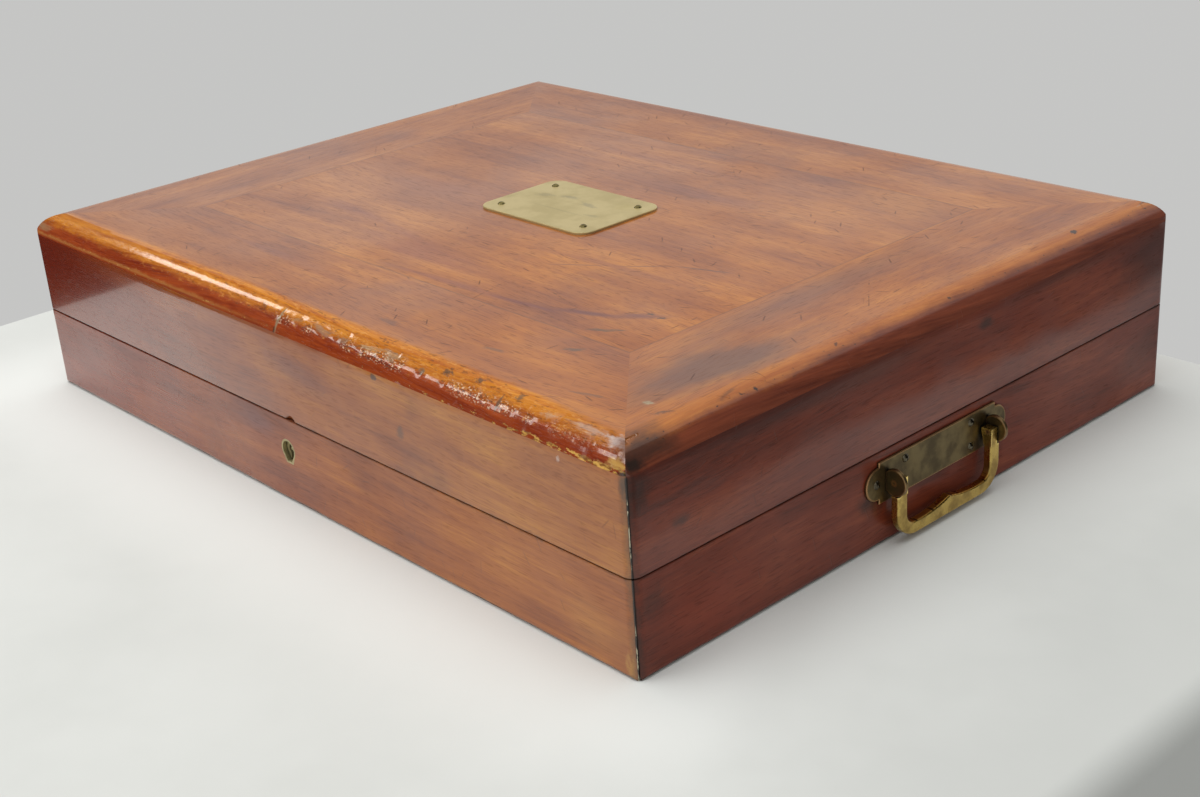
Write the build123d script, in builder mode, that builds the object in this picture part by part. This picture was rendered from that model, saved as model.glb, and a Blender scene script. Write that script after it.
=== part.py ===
from build123d import *
import math
import os

# Silverware chest: a low mahogany box with a hinged lid, a brass name plate, a drop handle at
# each end, a box lock in the front and slotted cutlery racks inside.
# Millimetres. The origin is the middle of the underside; +X is right, +Y back and +Z up.
# The lid is shut, the lock is open and both handles hang.

# ---- Driving dimensions ----

# Case
case_width = 584.0
case_depth = 458.0
case_height = 122.4
base_height = 55.7             # underside to the middle of the gap under the lid
lid_gap = 0.6
board_thickness = 12.0         # walls of base and lid
top_edge_radius = 17.0
corner_radius = 6.3
bottom_edge_radius = 3.0
seam = 0.1                     # gap left by a glue line
slip = 0.05                    # gap round a pin, screw or inlaid piece

# Lid top
top_thickness = 13.0
border_width = 84.0
tongue_width = 5.0             # tongue of the centre panel, in a groove of the border
tongue_thickness = 4.0

# Bottom board
bottom_thickness = 6.0
rebate_width = 6.0

# Linings
lining_thickness = 1.5
lid_pad_thickness = 3.0
lining_drop = 6.0              # bare wood left above the linings, at the rim
lining_gap = 0.3

# Cutlery racks
slot_width = 14.0
slot_pitch = 44.0
rail_thickness = 10.0
rail_spacing = 125.0           # between the two rails of one half
batten_height = 10.0
block_height = 24.0
block_round = 7.0
partition_thickness = 6.0
partition_height = 36.0

# Hinges
hinge_length = 50.0
hinge_inset = 97.0             # end of the case to the end of the hinge
leaf_width = 10.0
leaf_thickness = 1.5
knuckle_radius = 2.8
knuckle_count = 5
hinge_pin_radius = 1.25
hinge_pin_head_radius = 1.9
hinge_pin_head_height = 0.7
hinge_clearance = 0.2
hinge_screw_spacing = 17.0
hinge_screw_head = 2.4
hinge_screw_shank = 1.1
hinge_screw_length = 12.0

# Lock: a box lock let into the front board from inside
front_skin = 2.6               # wood left in front of the lock
lock_plate_length = 60.0
lock_plate_height = 32.0
lock_plate_thickness = 1.8
lock_cap_thickness = 1.2
selvedge_thickness = 2.0
lock_box_length = 46.0
lock_box_height = 28.0
lock_box_wall = 1.2
key_drop = 20.4                # rim of the base to the key's centre
drill_pin_radius = 1.2
cap_keyhole_radius = 3.0
guide_stud_radius = 1.2
guide_stud_spacing = 16.0
cap_post_radius = 2.0
cap_post_spacing = 37.0
cap_post_height = 4.1          # above the lower inside edge of the lock box
cap_screw_head = 1.7
cap_screw_shank = 0.8
cap_screw_length = 4.0
lock_screw_spacing = 53.0
lock_screw_rise = 22.0
lock_screw_foot = 5.0          # lower edge of the lock plate to its lower screws
lock_screw_length = 8.0
lock_screw_head = 2.3
lock_screw_shank = 1.1
bolt_travel = 5.0
bolt_height = 5.0
bolt_reach = 32.0
bolt_clearance = 0.4
finger_height = 3.0
finger_length = 5.4
talon_width = 5.0
talon_depth = 2.0
spring_thickness = 0.4
spring_height = 3.5
spring_length = 5.2

# Link plate in the lid
link_plate_thickness = 2.0
staple_spacing = 20.0
staple_thickness = 2.0
staple_drop = 11.0
staple_wall = 0.9
staple_foot = 1.2
staple_opening = 4.0
link_screw_spacing = 50.0
link_screw_length = 11.0

# Keyhole escutcheon
escutcheon_radius = 6.9
escutcheon_skirt = 8.6         # key's centre to the foot of the escutcheon
escutcheon_foot = 3.4          # half width of the foot
escutcheon_wall = 1.2

# Name plate
name_plate_length = 102.0
name_plate_width = 70.0
name_plate_thickness = 1.5
name_plate_corner = 10.0
name_plate_pin_inset = 11.5
plate_pin_head = 2.5
plate_pin_rise = 1.5
plate_pin_shank = 0.9
plate_pin_length = 7.0

# Handles, one at each end of the base
handle_margin = 4.8            # rim of the base to the top edge of the plate
handle_plate_length = 102.0
handle_plate_width = 24.6
handle_plate_thickness = 1.6
lobe_spacing = 104.0
lobe_radius = 9.5
pivot_out = 7.0                # side of the case to the bail's pivot
lug_spacing = 88.6
lug_radius = 7.8
lug_thickness = 2.6
lug_tail_radius = 1.2
bail_grip = 74.0               # between the arms
bail_arm = 8.0
bail_thickness = 5.2
bail_bar = 8.0
bail_outer_radius = 16.0
bail_inner_radius = 7.0
bail_cusp = 3.0
bail_dip = 0.6
bail_floor_clearance = 3.3
bail_head_rise = 2.0            # pivot to the flat end of each arm
bail_heel = 4.0                # pivot to the heel behind it
bail_lug_gap = 0.5
bail_round = 1.1
bail_pin_radius = 1.5
plate_screw_spacing = 58.0
plate_screw_rise = 14.6
end_screw_spacing = 106.0
plate_screw_head = 2.5
plate_screw_dome = 1.5
plate_screw_shank = 1.2
plate_screw_length = 10.5

# Wear: a chip in the lower front edge of the lid
chip_ball_radius = 8.0         # the chip is as if scooped out by a ball
chip_face_radius = 6.2         # of the round that the ball leaves in the front face
chip_middle = 7.0
chip_rise = 3.0

# ---- Places worked out from the driving dimensions ----

half_width = case_width / 2
half_depth = case_depth / 2
rim = base_height - lid_gap / 2
lid_bottom = base_height + lid_gap / 2
top_underside = case_height - top_thickness
room_half_width = half_width - board_thickness
room_half_depth = half_depth - board_thickness
lining_floor = bottom_thickness + lining_thickness

front, right, back, left = range(4)
side_names = ["front", "right_side", "back", "left_side"]

os.makedirs("parts", exist_ok=True)


def write(part, label):
    part.label = label
    export_step(part, f"parts/{label}.step")


def case_corners(inset):
    # Corners of the case's plan, moved in by the inset, anticlockwise from the front left.
    x = half_width - inset
    y = half_depth - inset
    return [(-x, -y), (x, -y), (x, y), (-x, y)]


def mitred_board(side, width, bottom, top):
    # One board of a mitred frame, rounded where it forms the outside of the chest.
    outer = case_corners(0)
    inner = case_corners(width)
    after = (side + 1) % 4
    with BuildPart() as board:
        with BuildSketch(Plane.XY.offset(bottom)):
            with BuildLine():
                Polyline(outer[side], outer[after], inner[after], inner[side], close=True)
            make_face()
        extrude(amount=top - bottom)
        add(outside_shape.part, mode=Mode.INTERSECT)
    return board.part


def flat_head_screw(head, shank, length, grow=0.0):
    # Head flush with the origin, point towards -Z. With some growth it is the hole for the screw.
    with BuildPart() as screw:
        with BuildSketch(Plane.XZ):
            with BuildLine():
                Polyline(
                    (0, 0),
                    (head + grow, 0),
                    (shank + grow, shank - head),
                    (shank + grow, shank - length),
                    (0, -length - grow),
                    close=True,
                )
            make_face()
        revolve(axis=Axis.Z)
        if grow == 0.0:
            Box(3 * head, head / 4, head / 3, mode=Mode.SUBTRACT)
    return screw.part


def round_head_screw(head, dome, shank, length, slotted=True):
    # Underside of the head at the origin, point towards -Z.
    sphere_radius = (head**2 + dome**2) / (2 * dome)
    half_turn = math.asin(min(1.0, head / sphere_radius)) / 2
    middle = (
        sphere_radius * math.sin(half_turn),
        dome - sphere_radius * (1 - math.cos(half_turn)),
    )
    with BuildPart() as screw:
        with BuildSketch(Plane.XZ):
            with BuildLine():
                ThreePointArc((0, dome), middle, (head, 0))
                Polyline(
                    (head, 0),
                    (shank, 0),
                    (shank, shank - length),
                    (0, -length),
                    (0, dome),
                )
            make_face()
        revolve(axis=Axis.Z)
        if slotted:
            with Locations((0, 0, dome)):
                Box(3 * head, head / 4, dome * 0.7, mode=Mode.SUBTRACT)
    return screw.part


def pin_hole(radius, length):
    # A blind round hole from the origin towards -Z.
    with BuildPart() as hole:
        Cylinder(radius + slip, length + slip, align=(Align.CENTER, Align.CENTER, Align.MAX))
    return hole.part


# ---- Outside shape of the whole chest ----

with BuildPart() as outside_shape:
    for profile_plane, length, reach in (
        (Plane.XZ, case_width, case_depth),
        (Plane.YZ, case_depth, case_width),
    ):
        with BuildSketch(profile_plane) as profile:
            Rectangle(length, case_height, align=(Align.CENTER, Align.MIN))
            fillet(profile.vertices().group_by(Axis.Y)[-1], top_edge_radius)
            fillet(profile.vertices().group_by(Axis.Y)[0], bottom_edge_radius)
        extrude(
            amount=reach,
            both=True,
            mode=Mode.ADD if profile_plane == Plane.XZ else Mode.INTERSECT,
        )
    with BuildSketch(Plane.XY):
        RectangleRounded(case_width, case_depth, corner_radius)
    extrude(amount=case_height, mode=Mode.INTERSECT)

# ---- Hinges: two butts at the back, their knuckles outside the case ----

hinge_axis_y = half_depth + knuckle_radius + hinge_clearance
hinge_centre_x = half_width - hinge_inset - hinge_length / 2
knuckle_length = hinge_length / knuckle_count
hinge_screw = flat_head_screw(hinge_screw_head, hinge_screw_shank, hinge_screw_length)
hinge_screw_hole = flat_head_screw(hinge_screw_head, hinge_screw_shank, hinge_screw_length, slip)
leaf_middle_y = half_depth - leaf_width / 2
hinge_screw_x = [
    side * hinge_centre_x + step * hinge_screw_spacing for side in (-1, 1) for step in (-1, 0, 1)
]
base_hinge_screw_places = [Location((x, leaf_middle_y, rim)) for x in hinge_screw_x]
lid_hinge_screw_places = [
    Location((x, leaf_middle_y, lid_bottom), (180, 0, 0)) for x in hinge_screw_x
]


def hinge_leaf(centre_x, face_z, inward, own_knuckles, screw_places):
    # One leaf, its show face at face_z and its thickness towards the wood it is let into.
    plate_middle_z = face_z + inward * leaf_thickness / 2
    leaf_reach = hinge_axis_y - half_depth + leaf_width
    with BuildPart() as leaf:
        with Locations((centre_x, half_depth - leaf_width + leaf_reach / 2, plate_middle_z)):
            Box(hinge_length, leaf_reach, leaf_thickness)
        for number in range(knuckle_count):
            knuckle_x = centre_x + (number - (knuckle_count - 1) / 2) * knuckle_length
            if number in own_knuckles:
                with Locations(Location((knuckle_x, hinge_axis_y, base_height), (0, 90, 0))):
                    Cylinder(knuckle_radius, knuckle_length - hinge_clearance)
            else:
                with Locations((knuckle_x, half_depth + knuckle_radius, base_height)):
                    Box(
                        knuckle_length + hinge_clearance,
                        2 * knuckle_radius,
                        3 * knuckle_radius,
                        mode=Mode.SUBTRACT,
                    )
        with Locations(Location((centre_x, hinge_axis_y, base_height), (0, 90, 0))):
            Cylinder(hinge_pin_radius + slip, 2 * hinge_length, mode=Mode.SUBTRACT)
        with Locations(*screw_places):
            add(hinge_screw_hole, mode=Mode.SUBTRACT)
    return leaf.part


for side, side_name in ((-1, "left"), (1, "right")):
    centre_x = side * hinge_centre_x
    base_leaf = hinge_leaf(
        centre_x, rim, -1, range(0, knuckle_count, 2), base_hinge_screw_places
    )
    write(base_leaf, f"{side_name}_hinge_base_leaf")
    lid_leaf = hinge_leaf(
        centre_x, lid_bottom, 1, range(1, knuckle_count, 2), lid_hinge_screw_places
    )
    write(lid_leaf, f"{side_name}_hinge_lid_leaf")
    with BuildPart() as hinge_pin:
        with BuildSketch(Plane.YZ.offset(centre_x)):
            with Locations((hinge_axis_y, base_height)):
                Circle(hinge_pin_radius)
        extrude(amount=hinge_length / 2, both=True)
        for end in (-1, 1):
            head_middle = centre_x + end * (hinge_length + hinge_pin_head_height) / 2
            with Locations(Location((head_middle, hinge_axis_y, base_height), (0, 90, 0))):
                Cylinder(hinge_pin_head_radius, hinge_pin_head_height)
    write(hinge_pin.part, f"{side_name}_hinge_pin")

for label, places in (
    ("base_hinge_screws", base_hinge_screw_places),
    ("lid_hinge_screws", lid_hinge_screw_places),
):
    with BuildPart() as hinge_screws:
        with Locations(*places):
            add(hinge_screw)
    write(hinge_screws.part, label)

# ---- Lock: its layers follow from the inner face of the front board, towards the front ----

lock_back_y = -room_half_depth
lock_room = board_thickness - front_skin - lock_plate_thickness - lock_cap_thickness - slip
plate_front_y = lock_back_y - lock_plate_thickness
cap_back_y = plate_front_y - lock_room
cap_front_y = cap_back_y - lock_cap_thickness
mortise_front_y = cap_front_y - slip
room_middle_y = (plate_front_y + cap_back_y) / 2
selvedge_underside = rim - selvedge_thickness
box_bottom = selvedge_underside - lock_box_height
key_z = rim - key_drop

staple_width = lock_room - 2 * bolt_clearance
staple_bottom = lid_bottom - staple_drop
opening_bottom = staple_bottom + staple_foot
bolt_thickness = staple_width - 2 * staple_wall - 2 * bolt_clearance
bolt_top = staple_bottom - 2.5 * bolt_clearance
bolt_middle_z = bolt_top - bolt_height / 2
finger_middle_z = opening_bottom + staple_opening / 2
staple_x = [-staple_spacing / 2, staple_spacing / 2]
guide_x = [-guide_stud_spacing / 2, guide_stud_spacing / 2]
cap_post_z = box_bottom + lock_box_wall + cap_post_height

cap_screw_places = [
    Location((side * cap_post_spacing / 2, cap_front_y, cap_post_z), (90, 0, 0))
    for side in (-1, 1)
]
lock_screw_places = [
    Location((side * lock_screw_spacing / 2, lock_back_y, z), (-90, 0, 0))
    for side in (-1, 1)
    for z in (
        rim - lock_plate_height + lock_screw_foot,
        rim - lock_plate_height + lock_screw_foot + lock_screw_rise,
    )
]
cap_screw = flat_head_screw(cap_screw_head, cap_screw_shank, cap_screw_length)
cap_screw_hole = flat_head_screw(cap_screw_head, cap_screw_shank, cap_screw_length, slip)
lock_screw = flat_head_screw(lock_screw_head, lock_screw_shank, lock_screw_length)
lock_screw_hole = flat_head_screw(lock_screw_head, lock_screw_shank, lock_screw_length, slip)


def facing_front(y):
    # A plane at this depth that looks out of the front: its sketches extrude towards -Y.
    return Plane.XZ.offset(-y)


def keyhole_outline(radius, skirt, foot):
    # A round eye on the key's centre, with a skirt that narrows to the foot.
    with Locations((0, key_z)):
        Circle(radius)
    Polygon(
        (-radius * 0.8, key_z - radius * 0.6),
        (-foot, key_z - skirt),
        (foot, key_z - skirt),
        (radius * 0.8, key_z - radius * 0.6),
        align=None,
    )


with BuildPart() as lock_case:
    with BuildSketch(facing_front(lock_back_y)):
        with Locations((0, rim)):
            Rectangle(lock_plate_length, lock_plate_height, align=(Align.CENTER, Align.MAX))
    extrude(amount=lock_plate_thickness)
    with BuildSketch(facing_front(lock_back_y)):
        with Locations((0, rim)):
            Rectangle(lock_plate_length, selvedge_thickness, align=(Align.CENTER, Align.MAX))
    extrude(amount=lock_back_y - cap_front_y)
    with BuildSketch(facing_front(plate_front_y)):
        with Locations((0, selvedge_underside)):
            Rectangle(lock_box_length, lock_box_height, align=(Align.CENTER, Align.MAX))
            Rectangle(
                lock_box_length - 2 * lock_box_wall,
                lock_box_height - lock_box_wall,
                align=(Align.CENTER, Align.MAX),
                mode=Mode.SUBTRACT,
            )
        with Locations(*[(x, bolt_middle_z) for x in guide_x]):
            Circle(guide_stud_radius)
        with Locations(*[(side * cap_post_spacing / 2, cap_post_z) for side in (-1, 1)]):
            Circle(cap_post_radius)
    extrude(amount=lock_room)
    with Locations(*[(x, room_middle_y, selvedge_underside) for x in staple_x]):
        Box(
            staple_thickness + 2 * bolt_clearance,
            lock_room,
            3 * selvedge_thickness,
            mode=Mode.SUBTRACT,
        )
    with BuildSketch(facing_front(lock_back_y)):
        with Locations((0, key_z)):
            Circle(drill_pin_radius + slip)
    extrude(amount=lock_plate_thickness, mode=Mode.SUBTRACT)
    with Locations(*cap_screw_places):
        add(cap_screw_hole, mode=Mode.SUBTRACT)
    with Locations(*lock_screw_places):
        add(lock_screw_hole, mode=Mode.SUBTRACT)
write(lock_case.part, "lock_case")

with BuildPart() as lock_cap:
    with BuildSketch(facing_front(cap_back_y)):
        with Locations((0, selvedge_underside)):
            Rectangle(lock_box_length, lock_box_height, align=(Align.CENTER, Align.MAX))
        with Locations((0, key_z)):
            Circle(cap_keyhole_radius, mode=Mode.SUBTRACT)
            Rectangle(
                cap_keyhole_radius,
                3 * cap_keyhole_radius,
                align=(Align.CENTER, Align.MAX),
                mode=Mode.SUBTRACT,
            )
    extrude(amount=lock_cap_thickness)
    with Locations(*cap_screw_places):
        add(cap_screw_hole, mode=Mode.SUBTRACT)
write(lock_cap.part, "lock_cap")

with BuildPart() as lock_drill_pin:
    with BuildSketch(facing_front(lock_back_y)):
        with Locations((0, key_z)):
            Circle(drill_pin_radius)
    extrude(amount=lock_back_y - cap_front_y)
    chamfer(lock_drill_pin.edges().group_by(Axis.Y)[0], drill_pin_radius / 4)
write(lock_drill_pin.part, "lock_drill_pin")

for label, screw, places in (
    ("lock_cap_screws", cap_screw, cap_screw_places),
    ("lock_screws", lock_screw, lock_screw_places),
):
    with BuildPart() as lock_fixings:
        with Locations(*places):
            add(screw)
    write(lock_fixings.part, label)

# The bolt slides on two studs; its fingers enter the staples when it moves to the right.
finger_start = -staple_thickness / 2 - 1.5 * bolt_clearance
bolt_left = staple_x[0] + finger_start - finger_length - finger_height
bolt_front_y = room_middle_y - bolt_thickness / 2
with BuildPart() as lock_bolt:
    with BuildSketch(facing_front(room_middle_y + bolt_thickness / 2)):
        with Locations((bolt_left, bolt_middle_z)):
            Rectangle(bolt_reach, bolt_height, align=(Align.MIN, Align.CENTER))
        for x in staple_x:
            post_bottom = bolt_middle_z
            post_top = finger_middle_z + finger_height / 2
            with Locations((x + finger_start - finger_length, post_bottom)):
                Rectangle(finger_height, post_top - post_bottom, align=(Align.MAX, Align.MIN))
            with Locations((x + finger_start, finger_middle_z)):
                Rectangle(
                    finger_length + finger_height, finger_height, align=(Align.MAX, Align.CENTER)
                )
        slot_middles = [(x - bolt_travel / 2, bolt_middle_z) for x in guide_x]
        with Locations(*slot_middles):
            SlotCenterToCenter(
                bolt_travel + 2 * slip, 2 * (guide_stud_radius + slip), mode=Mode.SUBTRACT
            )
        with Locations((-bolt_travel / 2, bolt_middle_z - bolt_height / 2)):
            Rectangle(talon_width, 2 * talon_depth, mode=Mode.SUBTRACT)
    extrude(amount=bolt_thickness)
write(lock_bolt.part, "lock_bolt")

# A bowed leaf on the front of the bolt rubs on the cap and holds the bolt where the key left it.
spring_middle_x = bolt_left + spring_length / 2
with BuildPart() as lock_bolt_spring:
    with BuildSketch(Plane.XY.offset(bolt_middle_z - spring_height / 2)):
        with BuildLine():
            ThreePointArc(
                (bolt_left, bolt_front_y - spring_thickness),
                (spring_middle_x, cap_back_y + spring_thickness),
                (bolt_left + spring_length, bolt_front_y - spring_thickness),
            )
        trace(line_width=spring_thickness)
    extrude(amount=spring_height)
write(lock_bolt_spring.part, "lock_bolt_spring")

link_screw_places = [
    Location((side * link_screw_spacing / 2, room_middle_y, lid_bottom), (180, 0, 0))
    for side in (-1, 1)
]
link_screw = flat_head_screw(lock_screw_head, lock_screw_shank, link_screw_length)
link_screw_hole = flat_head_screw(lock_screw_head, lock_screw_shank, link_screw_length, slip)
with BuildPart() as lock_link_plate:
    with BuildSketch(facing_front(lock_back_y)):
        with Locations((0, lid_bottom)):
            Rectangle(lock_plate_length, link_plate_thickness, align=(Align.CENTER, Align.MIN))
    extrude(amount=lock_back_y - cap_front_y)
    with Locations(*[(x, room_middle_y, staple_bottom) for x in staple_x]):
        Box(
            staple_thickness,
            staple_width,
            staple_drop,
            align=(Align.CENTER, Align.CENTER, Align.MIN),
        )
    with Locations(*[(x, room_middle_y, opening_bottom) for x in staple_x]):
        Box(
            2 * staple_thickness,
            staple_width - 2 * staple_wall,
            staple_opening,
            align=(Align.CENTER, Align.CENTER, Align.MIN),
            mode=Mode.SUBTRACT,
        )
    with Locations(*link_screw_places):
        add(link_screw_hole, mode=Mode.SUBTRACT)
write(lock_link_plate.part, "lock_link_plate")

with BuildPart() as link_plate_screws:
    with Locations(*link_screw_places):
        add(link_screw)
write(link_plate_screws.part, "link_plate_screws")

with BuildPart() as keyhole_escutcheon:
    with BuildSketch(facing_front(mortise_front_y)):
        keyhole_outline(escutcheon_radius, escutcheon_skirt, escutcheon_foot)
    extrude(amount=mortise_front_y + half_depth)
    with BuildSketch(facing_front(mortise_front_y)):
        keyhole_outline(
            escutcheon_radius - escutcheon_wall,
            escutcheon_skirt - escutcheon_wall,
            escutcheon_foot - escutcheon_wall,
        )
    extrude(amount=mortise_front_y + half_depth, mode=Mode.SUBTRACT)
write(keyhole_escutcheon.part, "keyhole_escutcheon")

# ---- Handles: the right one is made here, the left one is its mirror image ----

pivot_x = half_width + pivot_out
handle_z = rim - handle_margin - handle_plate_width / 2
plate_face_x = half_width + handle_plate_thickness
lug_inner_y = (lug_spacing - lug_thickness) / 2
bail_drop = handle_z - bail_floor_clearance
outward = (0, 90, 0)

handle_screw_spots = [
    (side * plate_screw_spacing / 2, handle_z + rise * plate_screw_rise / 2)
    for side in (-1, 1)
    for rise in (-1, 1)
]
handle_screw_spots += [(side * end_screw_spacing / 2, handle_z) for side in (-1, 1)]
handle_screw_places = [Location((plate_face_x, y, z), outward) for y, z in handle_screw_spots]
handle_screw = round_head_screw(
    plate_screw_head, plate_screw_dome, plate_screw_shank, plate_screw_length
)
handle_screw_hole = pin_hole(plate_screw_shank, plate_screw_length)

with BuildPart() as handle_plate:
    with BuildSketch(Plane.YZ.offset(half_width)):
        with Locations((0, handle_z)):
            Rectangle(handle_plate_length, handle_plate_width)
        with Locations(*[(side * lobe_spacing / 2, handle_z) for side in (-1, 1)]):
            Circle(lobe_radius)
    extrude(amount=handle_plate_thickness)
    chamfer(
        handle_plate.faces().sort_by(Axis.X)[-1].edges(), handle_plate_thickness / 4
    )
    with Locations(*handle_screw_places):
        add(handle_screw_hole, mode=Mode.SUBTRACT)
    with BuildSketch(Plane.YZ.offset(half_width)):
        with Locations(*[(side * lug_spacing / 2, handle_z) for side in (-1, 1)]):
            Circle(lug_tail_radius + slip)
    extrude(amount=handle_plate_thickness, mode=Mode.SUBTRACT)

# Each lug is a standing disc, cut off flat on the plate and riveted through it.
with BuildPart() as handle_lugs:
    with Locations(
        *[Location((pivot_x, side * lug_spacing / 2, handle_z), (90, 0, 0)) for side in (-1, 1)]
    ):
        Cylinder(lug_radius, lug_thickness)
    chamfer(handle_lugs.edges().filter_by(GeomType.CIRCLE), lug_thickness / 6)
    split(bisect_by=Plane.YZ.offset(plate_face_x), keep=Keep.TOP)
    with BuildSketch(Plane.YZ.offset(half_width)):
        with Locations(*[(side * lug_spacing / 2, handle_z) for side in (-1, 1)]):
            Circle(lug_tail_radius)
    extrude(amount=handle_plate_thickness)
    with Locations(Location((pivot_x, 0, handle_z), (90, 0, 0))):
        Cylinder(bail_pin_radius + slip, 2 * lug_spacing, mode=Mode.SUBTRACT)

with BuildPart() as bail_pins:
    for side in (-1, 1):
        pin_middle_y = side * (bail_grip + lug_spacing + lug_thickness) / 4
        pin_length = (lug_spacing + lug_thickness - bail_grip) / 2
        with Locations(Location((pivot_x, pin_middle_y, handle_z), (90, 0, 0))):
            Cylinder(bail_pin_radius, pin_length)

# The bail: two arms beside the lugs, flat at the end and with a heel behind the pivot, and a bar
# with a cusp in the middle of its upper edge.
inner_half = bail_grip / 2
outer_half = inner_half + bail_arm
neck_half = lug_inner_y - bail_lug_gap
shoulder = -lug_radius - bail_lug_gap
bar_top = bail_bar - bail_drop
with BuildPart() as bail:
    with BuildSketch(Plane(origin=(pivot_x, 0, handle_z), x_dir=(0, 1, 0), z_dir=(1, 0, 0))) as bow:
        with BuildLine():
            Polyline(
                (inner_half, bar_top),
                (inner_half, 0),
                (neck_half, 0),
                (neck_half, shoulder),
                (outer_half, shoulder),
                (outer_half, -bail_drop),
                (0, -bail_drop),
            )
            ThreePointArc(
                (inner_half, bar_top),
                (inner_half / 2, bar_top - bail_dip),
                (0, bar_top + bail_cusp),
            )
            mirror(about=Plane.YZ)
        make_face()
        fillet(bow.vertices().group_by(Axis.Y)[0], bail_outer_radius)
        bar_corners = bow.vertices().filter_by(
            lambda corner: abs(corner.Y - bar_top) < slip and abs(corner.X) > inner_half - slip
        )
        fillet(bar_corners, bail_inner_radius)
    extrude(amount=bail_thickness / 2, both=True)
    bail_sides = bail.faces().sort_by(Axis.X)
    long_edges = ShapeList(bail_sides[0].edges() + bail_sides[-1].edges())
    shoulder_z = handle_z + shoulder
    fillet(long_edges.filter_by(lambda edge: edge.center().Z < shoulder_z - slip), bail_round)
    for head_start in (inner_half, -neck_half):
        head_plane = Plane(
            origin=(pivot_x, head_start, handle_z), x_dir=(1, 0, 0), z_dir=(0, -1, 0)
        )
        with BuildSketch(head_plane):
            Polygon(
                (bail_thickness / 2, bail_head_rise),
                (-bail_heel, bail_head_rise),
                (-bail_heel, 0),
                (-bail_thickness / 2, shoulder),
                (bail_thickness / 2, shoulder),
                align=None,
            )
        extrude(amount=inner_half - neck_half)
    with Locations(Location((pivot_x, 0, handle_z), (90, 0, 0))):
        Cylinder(bail_pin_radius + slip, 2 * lug_spacing, mode=Mode.SUBTRACT)

with BuildPart() as handle_screws:
    with Locations(*handle_screw_places):
        add(handle_screw)

for label, piece in (
    ("handle_plate", handle_plate.part),
    ("handle_lugs", handle_lugs.part),
    ("bail_pins", bail_pins.part),
    ("bail", bail.part),
    ("handle_screws", handle_screws.part),
):
    write(piece, f"right_{label}")
    with BuildPart() as mirrored:
        mirror(piece, about=Plane.YZ)
    write(mirrored.part, f"left_{label}")

# ---- Base boards ----

base_boards = [mitred_board(side, board_thickness, 0, rim) for side in range(4)]
bottom_half_width = room_half_width + rebate_width
bottom_half_depth = room_half_depth + rebate_width

for side in range(4):
    with BuildPart() as base_board:
        add(base_boards[side])
        Box(
            2 * bottom_half_width,
            2 * bottom_half_depth,
            bottom_thickness,
            align=(Align.CENTER, Align.CENTER, Align.MIN),
            mode=Mode.SUBTRACT,
        )
        if side == front:
            with BuildSketch(facing_front(lock_back_y)):
                with Locations((0, rim)):
                    Rectangle(
                        lock_plate_length + 2 * slip,
                        lock_plate_height + slip,
                        align=(Align.CENTER, Align.MAX),
                    )
            extrude(amount=lock_plate_thickness, mode=Mode.SUBTRACT)
            with BuildSketch(facing_front(lock_back_y)):
                with Locations((0, rim)):
                    Rectangle(
                        lock_plate_length + 2 * slip,
                        selvedge_thickness,
                        align=(Align.CENTER, Align.MAX),
                    )
                    Rectangle(
                        lock_box_length + 2 * slip,
                        selvedge_thickness + lock_box_height + slip,
                        align=(Align.CENTER, Align.MAX),
                    )
            extrude(amount=lock_back_y - mortise_front_y, mode=Mode.SUBTRACT)
            with BuildSketch(facing_front(mortise_front_y)):
                keyhole_outline(
                    escutcheon_radius + slip, escutcheon_skirt + slip, escutcheon_foot + slip
                )
            extrude(amount=mortise_front_y + half_depth, mode=Mode.SUBTRACT)
            with Locations(*lock_screw_places):
                add(lock_screw_hole, mode=Mode.SUBTRACT)
        if side == back:
            with Locations(
                *[
                    (end * hinge_centre_x, half_depth - leaf_width - slip, rim)
                    for end in (-1, 1)
                ]
            ):
                Box(
                    hinge_length + 2 * slip,
                    2 * leaf_width,
                    2 * leaf_thickness,
                    align=(Align.CENTER, Align.MIN, Align.CENTER),
                    mode=Mode.SUBTRACT,
                )
            with Locations(*base_hinge_screw_places):
                add(hinge_screw_hole, mode=Mode.SUBTRACT)
        if side in (left, right):
            facing = 1 if side == right else -1
            with Locations(
                *[
                    Location((facing * plate_face_x, y, z), (0, facing * 90, 0))
                    for y, z in handle_screw_spots
                ]
            ):
                add(handle_screw_hole, mode=Mode.SUBTRACT)
    write(base_board.part, f"base_{side_names[side]}")

with BuildPart() as base_bottom:
    Box(
        2 * (bottom_half_width - seam),
        2 * (bottom_half_depth - seam),
        bottom_thickness,
        align=(Align.CENTER, Align.CENTER, Align.MIN),
    )
write(base_bottom.part, "base_bottom")

# ---- Linings of the base ----

with BuildPart() as base_floor_lining:
    with Locations((0, 0, bottom_thickness)):
        Box(
            2 * (room_half_width - lining_gap),
            2 * (room_half_depth - lining_gap),
            lining_thickness,
            align=(Align.CENTER, Align.CENTER, Align.MIN),
        )
write(base_floor_lining.part, "base_floor_lining")


def wall_lining(bottom, top):
    # Four upright strips against the walls; the end strips fit between the other two.
    with BuildPart() as strips:
        with BuildSketch(Plane.XY.offset(bottom)):
            long_y = room_half_depth - lining_thickness / 2
            with Locations((0, long_y), (0, -long_y)):
                Rectangle(2 * (room_half_width - lining_gap), lining_thickness)
            short_x = room_half_width - lining_thickness / 2
            with Locations((short_x, 0), (-short_x, 0)):
                Rectangle(
                    lining_thickness, 2 * (room_half_depth - lining_thickness - lining_gap)
                )
        extrude(amount=top - bottom)
    return strips.part


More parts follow.
